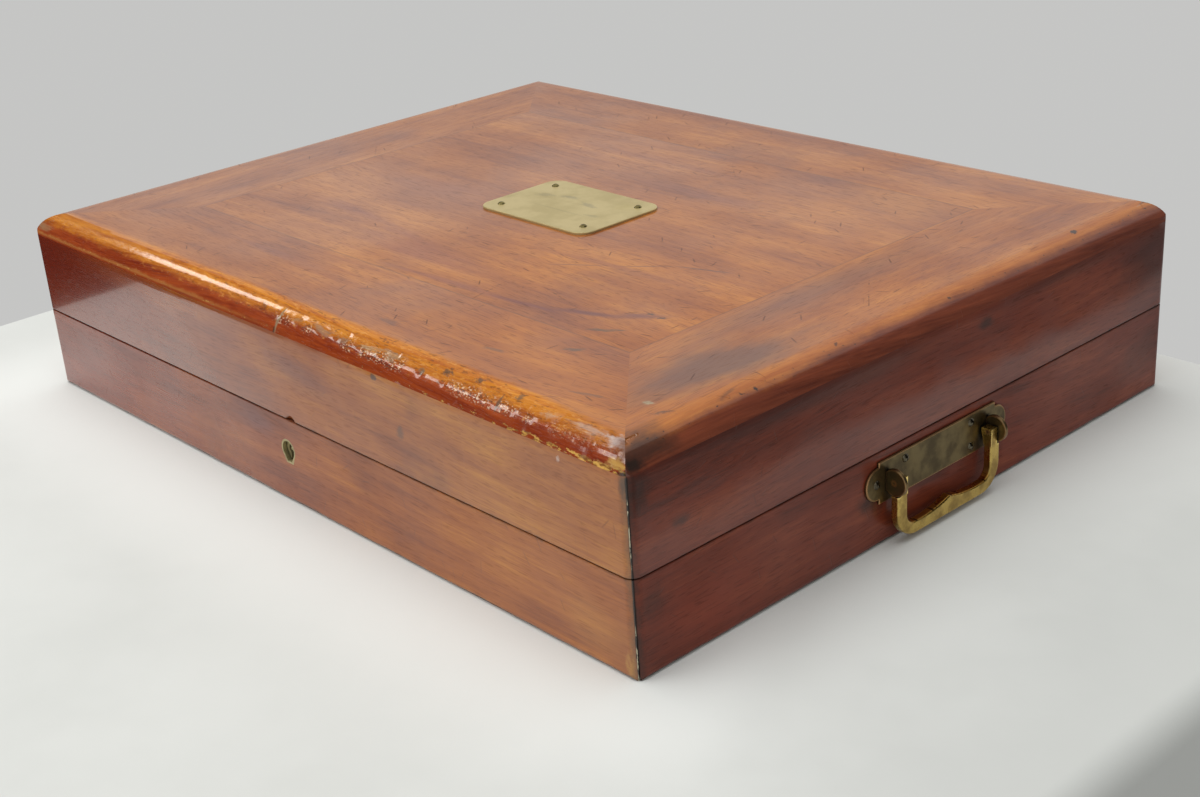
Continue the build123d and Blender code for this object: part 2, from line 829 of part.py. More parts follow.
base_strips = wall_lining(lining_floor, rim - lining_drop)
with BuildPart() as base_wall_lining:
    add(base_strips)
    with Locations((0, lock_back_y, rim)):
        Box(
            lock_plate_length + 2 * lining_gap,
            4 * lining_thickness,
            2 * (lock_plate_height + lining_gap),
            mode=Mode.SUBTRACT,
        )
write(base_wall_lining.part, "base_wall_lining")

# ---- Cutlery racks and centre partition ----

rack_half_length = room_half_depth - lining_thickness - lining_gap
block_width = slot_pitch - slot_width
slot_count = int((2 * rack_half_length - block_width) // slot_pitch)
slots_half_length = (slot_count * slot_pitch - block_width) / 2
end_block_width = rack_half_length - slots_half_length
bay_middle = (room_half_width - lining_thickness + partition_thickness / 2) / 2

blocks = [
    ((number - slot_count / 2) * slot_pitch, block_width) for number in range(1, slot_count)
]
blocks += [
    (side * (rack_half_length - end_block_width / 2), end_block_width) for side in (-1, 1)
]


def rack_rail(x):
    # A batten on the floor with a row of rounded blocks on it; cutlery lies in the slots.
    with BuildPart() as rail:
        with Locations((x, 0, lining_floor)):
            Box(
                rail_thickness,
                2 * rack_half_length,
                batten_height,
                align=(Align.CENTER, Align.CENTER, Align.MIN),
            )
        for middle_y, width in blocks:
            with BuildSketch(Plane.YZ.offset(x - rail_thickness / 2)) as block:
                with Locations((middle_y, lining_floor + batten_height + seam)):
                    Rectangle(width, block_height, align=(Align.CENTER, Align.MIN))
                fillet(block.vertices().group_by(Axis.Y)[-1], block_round)
            extrude(amount=rail_thickness)
    return rail.part


for side, side_name in ((-1, "left"), (1, "right")):
    for step, place in ((-1, "inner"), (1, "outer")):
        rail = rack_rail(side * (bay_middle + step * rail_spacing / 2))
        write(rail, f"{side_name}_{place}_rack")

with BuildPart() as centre_partition:
    with Locations((0, 0, lining_floor)):
        Box(
            partition_thickness,
            2 * rack_half_length,
            partition_height,
            align=(Align.CENTER, Align.CENTER, Align.MIN),
        )
    top_face = centre_partition.faces().sort_by(Axis.Z)[-1]
    fillet(top_face.edges().filter_by(Axis.Y), partition_thickness / 3)
write(centre_partition.part, "centre_partition")

# ---- Lid: rails, mitred border and flush panel ----

lid_rails = [mitred_board(side, board_thickness, lid_bottom, top_underside) for side in range(4)]

for side in range(4):
    with BuildPart() as lid_rail:
        add(lid_rails[side])
        if side == front:
            with BuildSketch(facing_front(lock_back_y)):
                with Locations((0, lid_bottom)):
                    Rectangle(
                        lock_plate_length + 2 * slip,
                        link_plate_thickness,
                        align=(Align.CENTER, Align.MIN),
                    )
            extrude(amount=lock_back_y - mortise_front_y, mode=Mode.SUBTRACT)
            with Locations(*link_screw_places):
                add(link_screw_hole, mode=Mode.SUBTRACT)
            ball_out = math.sqrt(chip_ball_radius**2 - chip_face_radius**2)
            ball_z = lid_bottom + chip_rise - chip_face_radius
            with Locations((chip_middle, -half_depth - ball_out, ball_z)):
                Sphere(chip_ball_radius, mode=Mode.SUBTRACT)
        if side == back:
            with Locations(
                *[
                    (end * hinge_centre_x, half_depth - leaf_width - slip, lid_bottom)
                    for end in (-1, 1)
                ]
            ):
                Box(
                    hinge_length + 2 * slip,
                    2 * leaf_width,
                    2 * leaf_thickness,
                    align=(Align.CENTER, Align.MIN, Align.CENTER),
                    mode=Mode.SUBTRACT,
                )
            with Locations(*lid_hinge_screw_places):
                add(hinge_screw_hole, mode=Mode.SUBTRACT)
    write(lid_rail.part, f"lid_{side_names[side]}")

panel_half_width = half_width - border_width - seam
panel_half_depth = half_depth - border_width - seam
tongue_z = top_underside + top_thickness / 2
name_plate_top = case_height + name_plate_thickness
plate_pin_places = [
    (
        end * (name_plate_length / 2 - name_plate_pin_inset),
        edge * (name_plate_width / 2 - name_plate_pin_inset),
        name_plate_top,
    )
    for end in (-1, 1)
    for edge in (-1, 1)
]
plate_pin = round_head_screw(
    plate_pin_head, plate_pin_rise, plate_pin_shank, plate_pin_length, slotted=False
)
plate_pin_hole = pin_hole(plate_pin_shank, plate_pin_length)

border_boards = [
    mitred_board(side, border_width, top_underside, case_height) for side in range(4)
]
for side in range(4):
    with BuildPart() as border:
        add(border_boards[side])
        with Locations((0, 0, tongue_z)):
            Box(
                2 * (panel_half_width + tongue_width + 2 * seam),
                2 * (panel_half_depth + tongue_width + 2 * seam),
                tongue_thickness + 2 * slip,
                mode=Mode.SUBTRACT,
            )
    write(border.part, f"top_{side_names[side].removesuffix('_side')}_border")

with BuildPart() as top_panel:
    with Locations((0, 0, tongue_z)):
        Box(2 * panel_half_width, 2 * panel_half_depth, top_thickness)
        Box(
            2 * (panel_half_width + tongue_width),
            2 * (panel_half_depth + tongue_width),
            tongue_thickness,
        )
    with Locations(*plate_pin_places):
        add(plate_pin_hole, mode=Mode.SUBTRACT)
write(top_panel.part, "top_panel")

with BuildPart() as lid_lining:
    with Locations((0, 0, top_underside)):
        Box(
            2 * (room_half_width - lining_gap),
            2 * (room_half_depth - lining_gap),
            lid_pad_thickness,
            align=(Align.CENTER, Align.CENTER, Align.MAX),
        )
write(lid_lining.part, "lid_lining")

lid_wall_lining = wall_lining(lid_bottom + lining_drop, top_underside - lid_pad_thickness)
write(lid_wall_lining, "lid_wall_lining")

# ---- Name plate ----

with BuildPart() as name_plate:
    with BuildSketch(Plane.XY.offset(case_height)):
        RectangleRounded(name_plate_length, name_plate_width, name_plate_corner)
    extrude(amount=name_plate_thickness)
    chamfer(name_plate.faces().sort_by(Axis.Z)[-1].edges(), name_plate_thickness / 4)
    with Locations(*plate_pin_places):
        add(plate_pin_hole, mode=Mode.SUBTRACT)
write(name_plate.part, "name_plate")

with BuildPart() as name_plate_pins:
    with Locations(*plate_pin_places):
        add(plate_pin)
write(name_plate_pins.part, "name_plate_pins")
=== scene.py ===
import math

import bmesh
import bpy
from mathutils import Matrix, Vector, noise


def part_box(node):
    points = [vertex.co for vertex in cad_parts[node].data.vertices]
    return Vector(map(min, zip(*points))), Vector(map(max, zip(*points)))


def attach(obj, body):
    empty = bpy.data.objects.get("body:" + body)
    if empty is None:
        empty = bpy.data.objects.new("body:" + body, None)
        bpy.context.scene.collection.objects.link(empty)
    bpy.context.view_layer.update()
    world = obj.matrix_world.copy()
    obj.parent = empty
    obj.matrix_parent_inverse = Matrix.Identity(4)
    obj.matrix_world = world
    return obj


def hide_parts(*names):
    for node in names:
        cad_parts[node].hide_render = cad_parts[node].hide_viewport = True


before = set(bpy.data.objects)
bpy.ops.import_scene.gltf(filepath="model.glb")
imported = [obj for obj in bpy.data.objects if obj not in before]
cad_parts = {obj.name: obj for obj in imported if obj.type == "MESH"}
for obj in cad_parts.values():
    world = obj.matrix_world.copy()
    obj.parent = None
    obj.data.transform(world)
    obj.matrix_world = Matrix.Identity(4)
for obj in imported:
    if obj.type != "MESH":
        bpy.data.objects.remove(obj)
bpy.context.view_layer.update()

quarter = math.pi / 2

# the chest as a whole, in metres
chest = {
    "halfWidth": 0.292,
    "halfDepth": 0.229,
    "height": 0.1224,
    "cornerRound": 0.0063,    # upright corners, seen from above
    "split": 0.0557,          # middle of the gap under the lid
    "gap": 0.0006,
    "roll": 0.017,            # round along the upper edges
    "border": 0.084,          # width of the mitred border
    "rim": 0.0554,            # top of the base
}


# small tools for shader trees

def feed(socket, value):
    if isinstance(value, bpy.types.NodeSocket):
        socket.id_data.links.new(value, socket)
    elif socket.type == "RGBA" and len(value) == 3:
        socket.default_value = (*value, 1.0)
    else:
        socket.default_value = value


def addNode(kind, inputs, tree=None, **settings):
    # a node joins the tree of the sockets that feed it, unless it is given one
    if tree is None:
        tree = next(value.id_data for value in inputs.values() if isinstance(value, bpy.types.NodeSocket))
    node = tree.nodes.new("ShaderNode" + kind)
    for name, value in settings.items():
        setattr(node, name, value)
    for key, value in inputs.items():
        feed(node.inputs[key], value)
    return node


def calc(operation, *values, clamp=False):
    return addNode("Math", dict(enumerate(values)), operation=operation, use_clamp=clamp).outputs[0]


def times(first, *others):
    for value in others:
        first = calc("MULTIPLY", first, value)
    return first


def plus(value, more, share, clamp=False):
    # a value with a share of another one added
    return calc("MULTIPLY_ADD", more, share, value, clamp=clamp)


def minus(value, less, clamp=False):
    return calc("SUBTRACT", value, less, clamp=clamp)


def aim(operation, *values, answer=0):
    # vector arithmetic; answer 1 is the number that length and dot product give
    return addNode("VectorMath", dict(enumerate(values)), operation=operation).outputs[answer]


def spread(value, low, high, toLow=0.0, toHigh=1.0, kind="SMOOTHSTEP"):
    inputs = {0: value, 1: low, 2: high, 3: toLow, 4: toHigh}
    return addNode("MapRange", inputs, interpolation_type=kind).outputs[0]


def fade(value, low, high, full=1.0):
    # full up to the low value, nothing from the high one on
    return spread(value, low, high, full, 0.0)


def tint(factor, first, second, blend="MIX"):
    inputs = {0: factor, 6: first, 7: second}
    return addNode("Mix", inputs, data_type="RGBA", blend_type=blend).outputs[2]


def wash(colour, tone, mask, *shares):
    # a tone laid over a colour where the mask says
    return tint(times(mask, *shares), colour, tone)


def cloudy(vector, scale, detail=2.0, rough=0.5, warp=0.0, answer=0):
    # smooth noise; a scale for each axis stretches it
    if isinstance(scale, tuple):
        vector, scale = placed(vector, scale=scale), 1.0
    inputs = {"Vector": vector, "Scale": scale, "Detail": detail, "Roughness": rough, "Distortion": warp}
    return addNode("TexNoise", inputs).outputs[answer]


def placed(vector, move=(0, 0, 0), turn=(0, 0, 0), scale=(1, 1, 1)):
    inputs = {"Vector": vector, "Location": move, "Rotation": turn, "Scale": scale}
    return addNode("Mapping", inputs).outputs[0]


def axes(vector):
    return addNode("SeparateXYZ", {0: vector}).outputs


def useGroup(group, inputs):
    return addNode("Group", inputs, node_tree=group).outputs


def openGroup(name, inputs, outputs):
    # an empty group with its named sockets: the tree, what comes in and what goes out
    tree = bpy.data.node_groups.new(name, "ShaderNodeTree")
    for label, kind, value in inputs:
        socket = tree.interface.new_socket(label, in_out="INPUT", socket_type="NodeSocket" + kind)
        if value is not None:
            socket.default_value = value
    for label in outputs:
        tree.interface.new_socket(label, in_out="OUTPUT", socket_type="NodeSocketFloat")
    return tree, tree.nodes.new("NodeGroupInput").outputs, tree.nodes.new("NodeGroupOutput").inputs


def newMaterial(name):
    # a material, the inputs of its shader, and the place on the object that it is asked for
    material = bpy.data.materials.new(name)
    material.use_nodes = True
    shader = material.node_tree.nodes["Principled BSDF"].inputs
    return material, shader, addNode("TexCoord", {}, material.node_tree).outputs["Object"]


def setTo(shader, values):
    for key, value in values.items():
        feed(shader[key], value)


def roughen(shader, height, strength, distance):
    bump = addNode("Bump", {"Height": height, "Strength": strength, "Distance": distance})
    feed(shader["Normal"], bump.outputs[0])


# shader groups

def makeWoodGrain():
    # mahogany figure; the grain runs along X of the vector, which is in metres
    tree, given, out = openGroup(
        "woodGrain", [("Vector", "Vector", None)],
        ["Figure", "Streak", "Pore", "Ribbon"])
    wander = cloudy(given["Vector"], (2.2, 7, 7), detail=1.0, answer=1)
    wander = aim("MULTIPLY", aim("SUBTRACT", wander, (0.5, 0.5, 0.5)), (0, 0.05, 0.05))
    path = aim("ADD", given["Vector"], wander)
    figure = cloudy(path, (3.5, 32, 32), detail=3.0, rough=0.5)
    streak = cloudy(path, (9, 190, 190), detail=3.0, rough=0.6)
    fine = cloudy(path, (34, 1000, 1000), detail=2.0)
    pore = cloudy(path, (110, 1700, 1700), detail=0.0)
    ribbon = cloudy(given["Vector"], (14, 24, 24), detail=3.0, rough=0.55)
    streaks = plus(times(streak, 0.6), fine, 0.4)
    feed(out["Figure"], spread(figure, 0.3, 0.7, kind="LINEAR"))
    feed(out["Streak"], spread(streaks, 0.34, 0.66, kind="LINEAR"))
    feed(out["Pore"], spread(pore, 0.6, 0.72))
    feed(out["Ribbon"], spread(ribbon, 0.3, 0.7, kind="LINEAR"))
    return tree


def lineInCell(vector, plane, scale, width, reach):
    # one straight scratch in each cell of a random pattern, in a random direction of the board's plane
    cell = addNode("TexVoronoi", {"Vector": vector, "Scale": scale, "Randomness": 1.0})
    local = aim("SUBTRACT", vector, cell.outputs["Position"])
    across = aim("SUBTRACT", cell.outputs["Color"], (0.5, 0.5, 0.5))
    across = aim("NORMALIZE", aim("MULTIPLY", across, plane))
    off = calc("ABSOLUTE", aim("DOT_PRODUCT", local, across, answer=1))
    along = aim("LENGTH", local, answer=1)
    chance = addNode("SeparateColor", {0: cell.outputs["Color"]}).outputs[2]
    thin = fade(off, width * 0.4, width)
    short = fade(along, reach * 0.5, reach)
    return times(thin, short, spread(chance, 0.45, 0.55))


def makeHandlingMarks():
    # scratches, nicks, specks and cloudy stains of long use
    tree, given, out = openGroup(
        "handlingMarks", [("Vector", "Vector", None), ("Plane", "Vector", (1, 1, 0))],
        ["Scratch", "Nick", "Speck", "Blotch", "Bloom"])
    sway = cloudy(given["Vector"], 9.0, 1.0, answer=1)
    bent = aim("MULTIPLY_ADD", sway, (0.008, 0.008, 0.008), given["Vector"])
    long = lineInCell(bent, given["Plane"], 17.0, 0.00040, 0.030)
    brief = lineInCell(given["Vector"], given["Plane"], 70.0, 0.00055, 0.0050)
    patchy = spread(cloudy(given["Vector"], 240.0, 2.0), 0.42, 0.6)
    feed(out["Scratch"], times(long, patchy))
    feed(out["Nick"], brief)
    cell = addNode("TexVoronoi", {"Vector": given["Vector"], "Scale": 60.0, "Randomness": 1.0})
    away = aim("LENGTH", aim("SUBTRACT", given["Vector"], cell.outputs["Position"]), answer=1)
    chance = addNode("SeparateColor", {0: cell.outputs["Color"]}).outputs[1]
    size = spread(chance, 0.72, 1.0, 0.0, 0.0013, kind="LINEAR")
    feed(out["Speck"], calc("LESS_THAN", away, size))
    feed(out["Blotch"], spread(cloudy(given["Vector"], 11.0, 4.0, 0.6), 0.52, 0.75))
    feed(out["Bloom"], spread(cloudy(given["Vector"], 6.0, 3.0, 0.6), 0.3, 0.7))
    return tree


def makeStain():
    # one ragged oval mark at a given place
    tree, given, out = openGroup(
        "stain", [("Vector", "Vector", None), ("Centre", "Vector", (0, 0, 0)),
                  ("Turn", "Vector", (0, 0, 0)), ("Size", "Vector", (1, 1, 1)),
                  ("Ragged", "Float", 0.4), ("Soft", "Float", 0.5)],
        ["Mask"])
    local = addNode("Mapping", {"Vector": given["Vector"], "Location": given["Centre"],
                                      "Rotation": given["Turn"], "Scale": given["Size"]},
                    vector_type="TEXTURE").outputs[0]
    shifted = aim("MULTIPLY_ADD", given["Centre"], (37, 37, 37), local)
    torn = minus(cloudy(shifted, 1.6, 3.0, 0.6), 0.5)
    away = plus(aim("LENGTH", local, answer=1), torn, given["Ragged"])
    feed(out["Mask"], fade(away, minus(1.0, given["Soft"]), 1.0))
    return tree


def outwards(value, half):
    # from the middle plane out to a wall: what is left before the outside
    return minus(half, calc("ABSOLUTE", value))


def makeCaseEdges():
    # how near a point of the case is to its corners, foot, lid line, joints and upper edges, in metres
    tree, given, out = openGroup(
        "caseEdges", [("Vector", "Vector", None)],
        ["Corner", "Foot", "Split", "Mitre", "Panel", "Side"])
    xyz = axes(given["Vector"])
    fromEnd = outwards(xyz[0], chest["halfWidth"])
    fromFront = outwards(xyz[1], chest["halfDepth"])
    side = calc("MINIMUM", fromEnd, fromFront)
    feed(out["Corner"], calc("MAXIMUM", fromEnd, fromFront))
    feed(out["Foot"], xyz[2])
    feed(out["Split"], calc("ABSOLUTE", minus(xyz[2], chest["split"])))
    feed(out["Mitre"], calc("ABSOLUTE", minus(fromEnd, fromFront)))
    feed(out["Side"], side)
    feed(out["Panel"], calc("ABSOLUTE", minus(side, chest["border"])))
    return tree


woodGrain = makeWoodGrain()
handlingMarks = makeHandlingMarks()
stain = makeStain()
caseEdges = makeCaseEdges()
print("shader groups ready")

# what all the mahogany shares; each board then has its own tones and marks
mahoganyLook = {
    "dark": (0.17, 0.050, 0.026),
    "mid": (0.33, 0.115, 0.045),
    "light": (0.46, 0.190, 0.072),
    "stainColour": (0.13, 0.040, 0.034),
    "grime": (0.030, 0.016, 0.012),
    "rubbed": (0.46, 0.25, 0.11),
    "filler": (0.62, 0.55, 0.38),
    "openJoint": (0.014, 0.008, 0.006),
    "scratchTone": (0.10, 0.045, 0.035),
    "turn": 0.0,
    "plane": (1, 1, 0),
    "fine": 0.38,
    "relief": 0.5,
    "pore": 0.35,
    "poreTone": (0.07, 0.016, 0.006),
    "shift": (0.0, 0.0, 0.0),
    "roughness": 0.42,
    "roughSpread": 0.14,
    "coat": 1.0,
    "coatRoughness": 0.13,
    "coatIOR": 1.6,
    "blotch": 0.35,
    "scratch": 0.5,
    "nick": 0.35,
    "speck": 0.0,
    "cornerRub": 0.35,
    "nearCorner": 0.0,
    "filled": False,
    "specular": 0.25,
    "seamDark": 0.30,
    "warmFrom": -0.15,
    "warmTo": 0.40,
    "stains": [],
    "marksOver": [],
}


def mark(centre, size, ragged, soft, strength, shade, turn=0.0, lean=0.0):
    # one mark in the wood; it is turned about Z and leans in the plane of the front
    return centre, size, (0, lean, turn), ragged, soft, strength, shade


def topMark(x, y, long, wide, turn, *rest, deep=0.02):
    return mark((x, y, chest["height"]), (long, wide, deep), *rest, turn=turn)


def frontMark(x, z, long, tall, lean, *rest):
    return mark((x, -chest["halfDepth"], z), (long, 0.02, tall), *rest, lean=lean)


def sideMark(y, z, long, tall, *rest):
    return mark((chest["halfWidth"], y, z), (0.02, long, tall), *rest)


def stained(place, marks, colour):
    # lays marks over a colour
    for centre, size, turn, ragged, soft, strength, shade in marks:
        mask = useGroup(stain, {"Vector": place, "Centre": centre, "Turn": turn, "Size": size,
                                      "Ragged": ragged, "Soft": soft})["Mask"]
        colour = wash(colour, shade, mask, strength)
    return colour


def figuredWood(look, wood, xyz):
    # the figure in three tones, warmer where sun and handling have changed the wood
    broad = plus(times(wood["Figure"], 0.55), wood["Ribbon"], 0.45)
    tone = plus(times(broad, 1.0 - look["fine"]), wood["Streak"], look["fine"])
    colour = tint(spread(tone, 0.10, 0.55), look["dark"], look["mid"])
    colour = tint(spread(tone, 0.45, 0.90), colour, look["light"])
    if "warm" in look:
        nearness = plus(plus(xyz[0], xyz[1], -0.45), wood["Ribbon"], 0.10)
        sunned = spread(nearness, look["warmFrom"], look["warmTo"])
        colour = tint(sunned, colour, look["warm"], "MULTIPLY")
    return colour


# strips beside the lines of the case: unevenness, where they are full and where they end, strength
wearLines = {
    "lidLine": (0.003, 0.0008, 0.0032, 0.75),
    "foot": (0.004, 0.0016, 0.0050, 0.8),
    "corner": (0.006, 0.0040, 0.0085),
    "mitre": (0.0022, 0.0010, 0.0024, 0.85),
    "smoke": (0.012, 0.0050, 0.0130, 0.75),
    "opened": (0.0012, 0.0010, 0.0019, 0.95),
    "filler": (0.0006, 0.0006, 0.0012),
}
# heights that bound the upright walls and the flat top, and the seam round the panel
caseBands = {
    "belowRound": (0.1075, 0.1100),
    "flatTop": (0.1205, 0.1215),
    "seam": (0.0003, 0.0009),
}
# where the opened corner and the filler in it start and end
nearCorner = {
    "alongX": (0.27, 0.28),
    "alongY": (-0.21, -0.20),
    "lidFillerFoot": (0.0600, 0.0640),
    "lidFillerHead": (0.0940, 0.0985),
    "baseFiller": (0.0240, 0.0330),
    "crumbs": (900, 900, 260),
}


def besideLine(distance, worn, lineName):
    uneven, *reach = wearLines[lineName]
    return fade(plus(distance, worn, uneven), *reach)


def grimed(look, edges, upright, worn, colour):
    # grime beside the lid line, at the foot and in the mitres, and rubbed upright corners
    colour = wash(colour, look["grime"], besideLine(edges["Split"], worn, "lidLine"))
    colour = wash(colour, look["grime"], besideLine(edges["Foot"], worn, "foot"))
    rubLine = besideLine(edges["Corner"], worn, "corner")
    colour = wash(colour, look["rubbed"], rubLine, upright, look["cornerRub"])
    return wash(colour, look["grime"], besideLine(edges["Mitre"], worn, "mitre"), upright)


def openedCorner(look, place, xyz, edges, upright, worn, colour):
    # the mitre at the right front corner: smoky, open, and with old filler in it on the front
    bounds = nearCorner
    here = times(spread(xyz[0], *bounds["alongX"]), upright,
                 fade(xyz[1], *bounds["alongY"]))
    smoke = besideLine(edges["Mitre"], worn, "smoke")
    colour = wash(colour, look["grime"], smoke, here, look["nearCorner"])
    opened = times(besideLine(edges["Mitre"], worn, "opened"), here)
    colour = wash(colour, look["openJoint"], opened)
    if look["filled"]:
        lidPart = times(spread(xyz[2], *bounds["lidFillerFoot"]),
                        fade(xyz[2], *bounds["lidFillerHead"]))
        filledPart = calc("MAXIMUM", lidPart, fade(xyz[2], *bounds["baseFiller"]))
        crumbs = spread(cloudy(place, bounds["crumbs"]), 0.45, 0.52)
        inJoint = besideLine(edges["Mitre"], worn, "filler")
        colour = wash(colour, look["filler"], crumbs, inJoint, filledPart, here)
    return colour, opened


def polished(shader, look, xyz, wood, bloom, hurt, gloss):
    # roughness and varnish; on the front the polish is deep at the left and worn thin at the right
    dull = plus(look["roughness"], bloom, look["roughSpread"])
    cover = plus(look["coat"], bloom, -0.25)
    if "coatFade" in look:
        fadeFrom, fadeTo, thinCoat = look["coatFade"]
        polish = spread(xyz[0], fadeFrom, fadeTo, 1.0, thinCoat)
        dull = plus(dull, minus(polish, thinCoat), look["roughFrom"] - look["roughness"])
        cover = times(cover, polish)
    if "glossBand" in look:
        bandLow, bandHigh, bandCoat = look["glossBand"]
        level = plus(plus(xyz[2], wood["Figure"], 0.012), wood["Ribbon"], 0.012)
        above = spread(level, bandLow, bandLow + 0.014)
        below = fade(level, bandHigh - 0.012, bandHigh + 0.006)
        cover = plus(cover, times(above, below), bandCoat)
    dull = plus(dull, wood["Pore"], 0.12)
    feed(shader["Roughness"], minus(dull, gloss, clamp=True))
    cover = calc("ADD", cover, gloss)
    feed(shader["Coat Weight"], minus(cover, times(hurt, 0.7), clamp=True))
    setTo(shader, {"Coat Roughness": look["coatRoughness"], "Coat IOR": look["coatIOR"], "IOR": 1.5,
                   "Specular IOR Level": look["specular"]})


def mahogany(name, own):
    look = {**mahoganyLook, **own}
    material, shader, place = newMaterial(name)
    xyz = axes(place)
    grainPlace = placed(place, move=look["shift"], turn=(0, 0, look["turn"]))
    wood = useGroup(woodGrain, {"Vector": grainPlace})
    marks = useGroup(handlingMarks, {"Vector": placed(place, move=look["shift"]),
                                           "Plane": look["plane"]})
    edges = useGroup(caseEdges, {"Vector": place})
    worn = cloudy(place, 130.0, 4.0, 0.65)
    colour = figuredWood(look, wood, xyz)
    colour = stained(place, look["stains"], colour)
    colour = wash(colour, look["stainColour"], marks["Blotch"], look["blotch"])
    colour = wash(colour, look["poreTone"], wood["Pore"], look["pore"])
    hurt = calc("MAXIMUM", times(marks["Scratch"], look["scratch"]),
                times(marks["Nick"], look["nick"]))
    colour = wash(colour, look["scratchTone"], hurt)
    if look["speck"]:
        colour = wash(colour, look["filler"], marks["Speck"], look["speck"])
    upright = fade(xyz[2], *caseBands["belowRound"])
    colour = grimed(look, edges, upright, worn, colour)
    if look["nearCorner"]:
        colour, opened = openedCorner(look, place, xyz, edges, upright, worn, colour)
        hurt = calc("MAXIMUM", hurt, opened)
    seamLine = fade(edges["Panel"], *caseBands["seam"], look["seamDark"])
    colour = wash(colour, look["grime"], seamLine, spread(xyz[2], *caseBands["flatTop"]))
    extraHeight, gloss = 0.0, 0.0
    if "finish" in look:
        colour, extraHeight, gloss = look["finish"](place, xyz, edges, wood, worn, colour)
    feed(shader["Base Color"], stained(place, look["marksOver"], colour))
    polished(shader, look, xyz, wood, marks["Bloom"], hurt, gloss)
    height = plus(times(wood["Streak"], 0.25), wood["Pore"], -0.35)
    height = calc("ADD", plus(height, hurt, -1.0), extraHeight)
    roughen(shader, height, look["relief"], 0.00025)
    return material


# the varnish on the front round, what shows through it, and the painted shade at the mitre
rollTones = {
    "amber": ((0.35, 0.085, 0.008), (0.64, 0.250, 0.024)),
    "amberNearCorner": (0.24, 0.070, 0.016),
    "red": ((0.16, 0.014, 0.005), (0.34, 0.056, 0.011)),
    "rubbedThin": (0.40, 0.15, 0.040),
    "paleCraze": (0.64, 0.30, 0.07),
    "darkCraze": (0.10, 0.035, 0.010),
    "paleCrumb": (0.70, 0.52, 0.36),
    "darkCrumb": (0.09, 0.050, 0.030),
    "bareWood": ((0.20, 0.080, 0.012), (0.70, 0.40, 0.085)),
    # the tone at the mitre is painted shade, where the front round turns into the shaded right side
    "atMitre": (0.13, 0.042, 0.018),
}

# where each part of that varnish starts and ends, along X, Y or Z or away from the mitre
rollBands = {
    "backEdge": (-0.2085, -0.2035),
    "narrowing": (0.200, 0.285, 0.0, 0.0065),
    "redToAmber": (0.1180, 0.1225),
    "nearCorner": (0.215, 0.275, 0.0, 0.45),
    "thinBelow": (0.1132, 0.1150),
    "thinAbove": (0.1098, 0.1112),
    "thinLeft": (-0.12, 0.03, 0.8),
    "busy": (-0.26, 0.06, 0.35, 1.0),
    "crazed": (0.1165, 0.1190),
    "crumbsAbove": (0.1160, 0.1175),
    "crumbsBelow": (0.1205, 0.1220),
    "crumbsFrom": (-0.005, 0.010),
    "crumbsTo": (0.200, 0.265, 1.0, 0.15),
    "chipped": (0.1130, 0.1150),
    "moreChips": (0.140, 0.285, 0.0, 0.20),
    "mitreShadeReach": (0.001, 0.016, 0.85),
    "mitreShadeAbove": (0.1150, 0.1185),
    "flat": (-0.2190, -0.2150),
}

# knocks, scuffs and a painted highlight on the front round: place, reach, raggedness, softness, strength,
# colour
rollMarks = [
    mark((0.0035, -0.2238, 0.116), (0.0014, 0.012, 0.012), 1.0, 0.6, 0.85, (0.27, 0.19, 0.11)),
    mark((0.0022, -0.229, 0.109), (0.001, 0.004, 0.006), 0.5, 0.5, 0.85, (0.06, 0.035, 0.02)),
    mark((0.02, -0.2225, 0.119), (0.005, 0.003, 0.002), 2.6, 0.7, 0.65, (0.34, 0.19, 0.09)),
    mark((0.043, -0.2225, 0.1187), (0.013, 0.004, 0.003), 3.0, 0.8, 0.55, (0.28, 0.2, 0.14)),
    mark((0.064, -0.223, 0.1182), (0.006, 0.003, 0.003), 3.0, 0.8, 0.55, (0.22, 0.15, 0.1)),
    mark((0.087, -0.2225, 0.1188), (0.009, 0.003, 0.002), 2.6, 0.7, 0.65, (0.36, 0.24, 0.14)),
    mark((0.106, -0.2215, 0.1194), (0.014, 0.004, 0.003), 3.0, 0.8, 0.55, (0.3, 0.22, 0.14)),
    mark((0.134, -0.223, 0.1182), (0.003, 0.003, 0.003), 2.4, 0.7, 0.8, (0.16, 0.12, 0.08)),
    mark((0.151, -0.2185, 0.1212), (0.0045, 0.003, 0.003), 2.4, 0.7, 0.8, (0.08, 0.05, 0.035)),
    mark((0.174, -0.216, 0.1219), (0.004, 0.003, 0.003), 2.4, 0.7, 0.8, (0.08, 0.05, 0.035)),
    mark((0.196, -0.2233, 0.1181), (0.0014, 0.006, 0.006), 1.6, 0.6, 0.8, (0.13, 0.08, 0.05)),
    mark((0.206, -0.217, 0.1217), (0.003, 0.003, 0.003), 2.4, 0.7, 0.75, (0.12, 0.08, 0.05)),
    mark((0.23, -0.22, 0.1203), (0.006, 0.003, 0.002), 2.6, 0.7, 0.5, (0.42, 0.27, 0.18)),
    mark((0.257, -0.219, 0.1208), (0.018, 0.003, 0.002), 2.8, 0.8, 0.5, (0.44, 0.32, 0.26)),
    # the next two pale marks at the corner are scuffs with a painted highlight
    mark((0.279, -0.2195, 0.12), (0.011, 0.005, 0.004), 2.6, 0.8, 0.75, (0.58, 0.5, 0.47)),
    mark((0.287, -0.2225, 0.117), (0.0045, 0.004, 0.004), 2.2, 0.7, 0.7, (0.58, 0.5, 0.47)),
    mark((0.284, -0.2265, 0.1135), (0.008, 0.003, 0.0035), 1.9, 0.6, 0.7, (0.58, 0.36, 0.09)),
    mark((0.2885, -0.2275, 0.11), (0.0045, 0.003, 0.0025), 1.5, 0.8, 0.9, (0.015, 0.011, 0.009)),
    mark((-0.284, -0.225, 0.115), (0.018, 0.004, 0.004), 1.6, 0.9, 0.6, (0.3, 0.2, 0.1)),
]


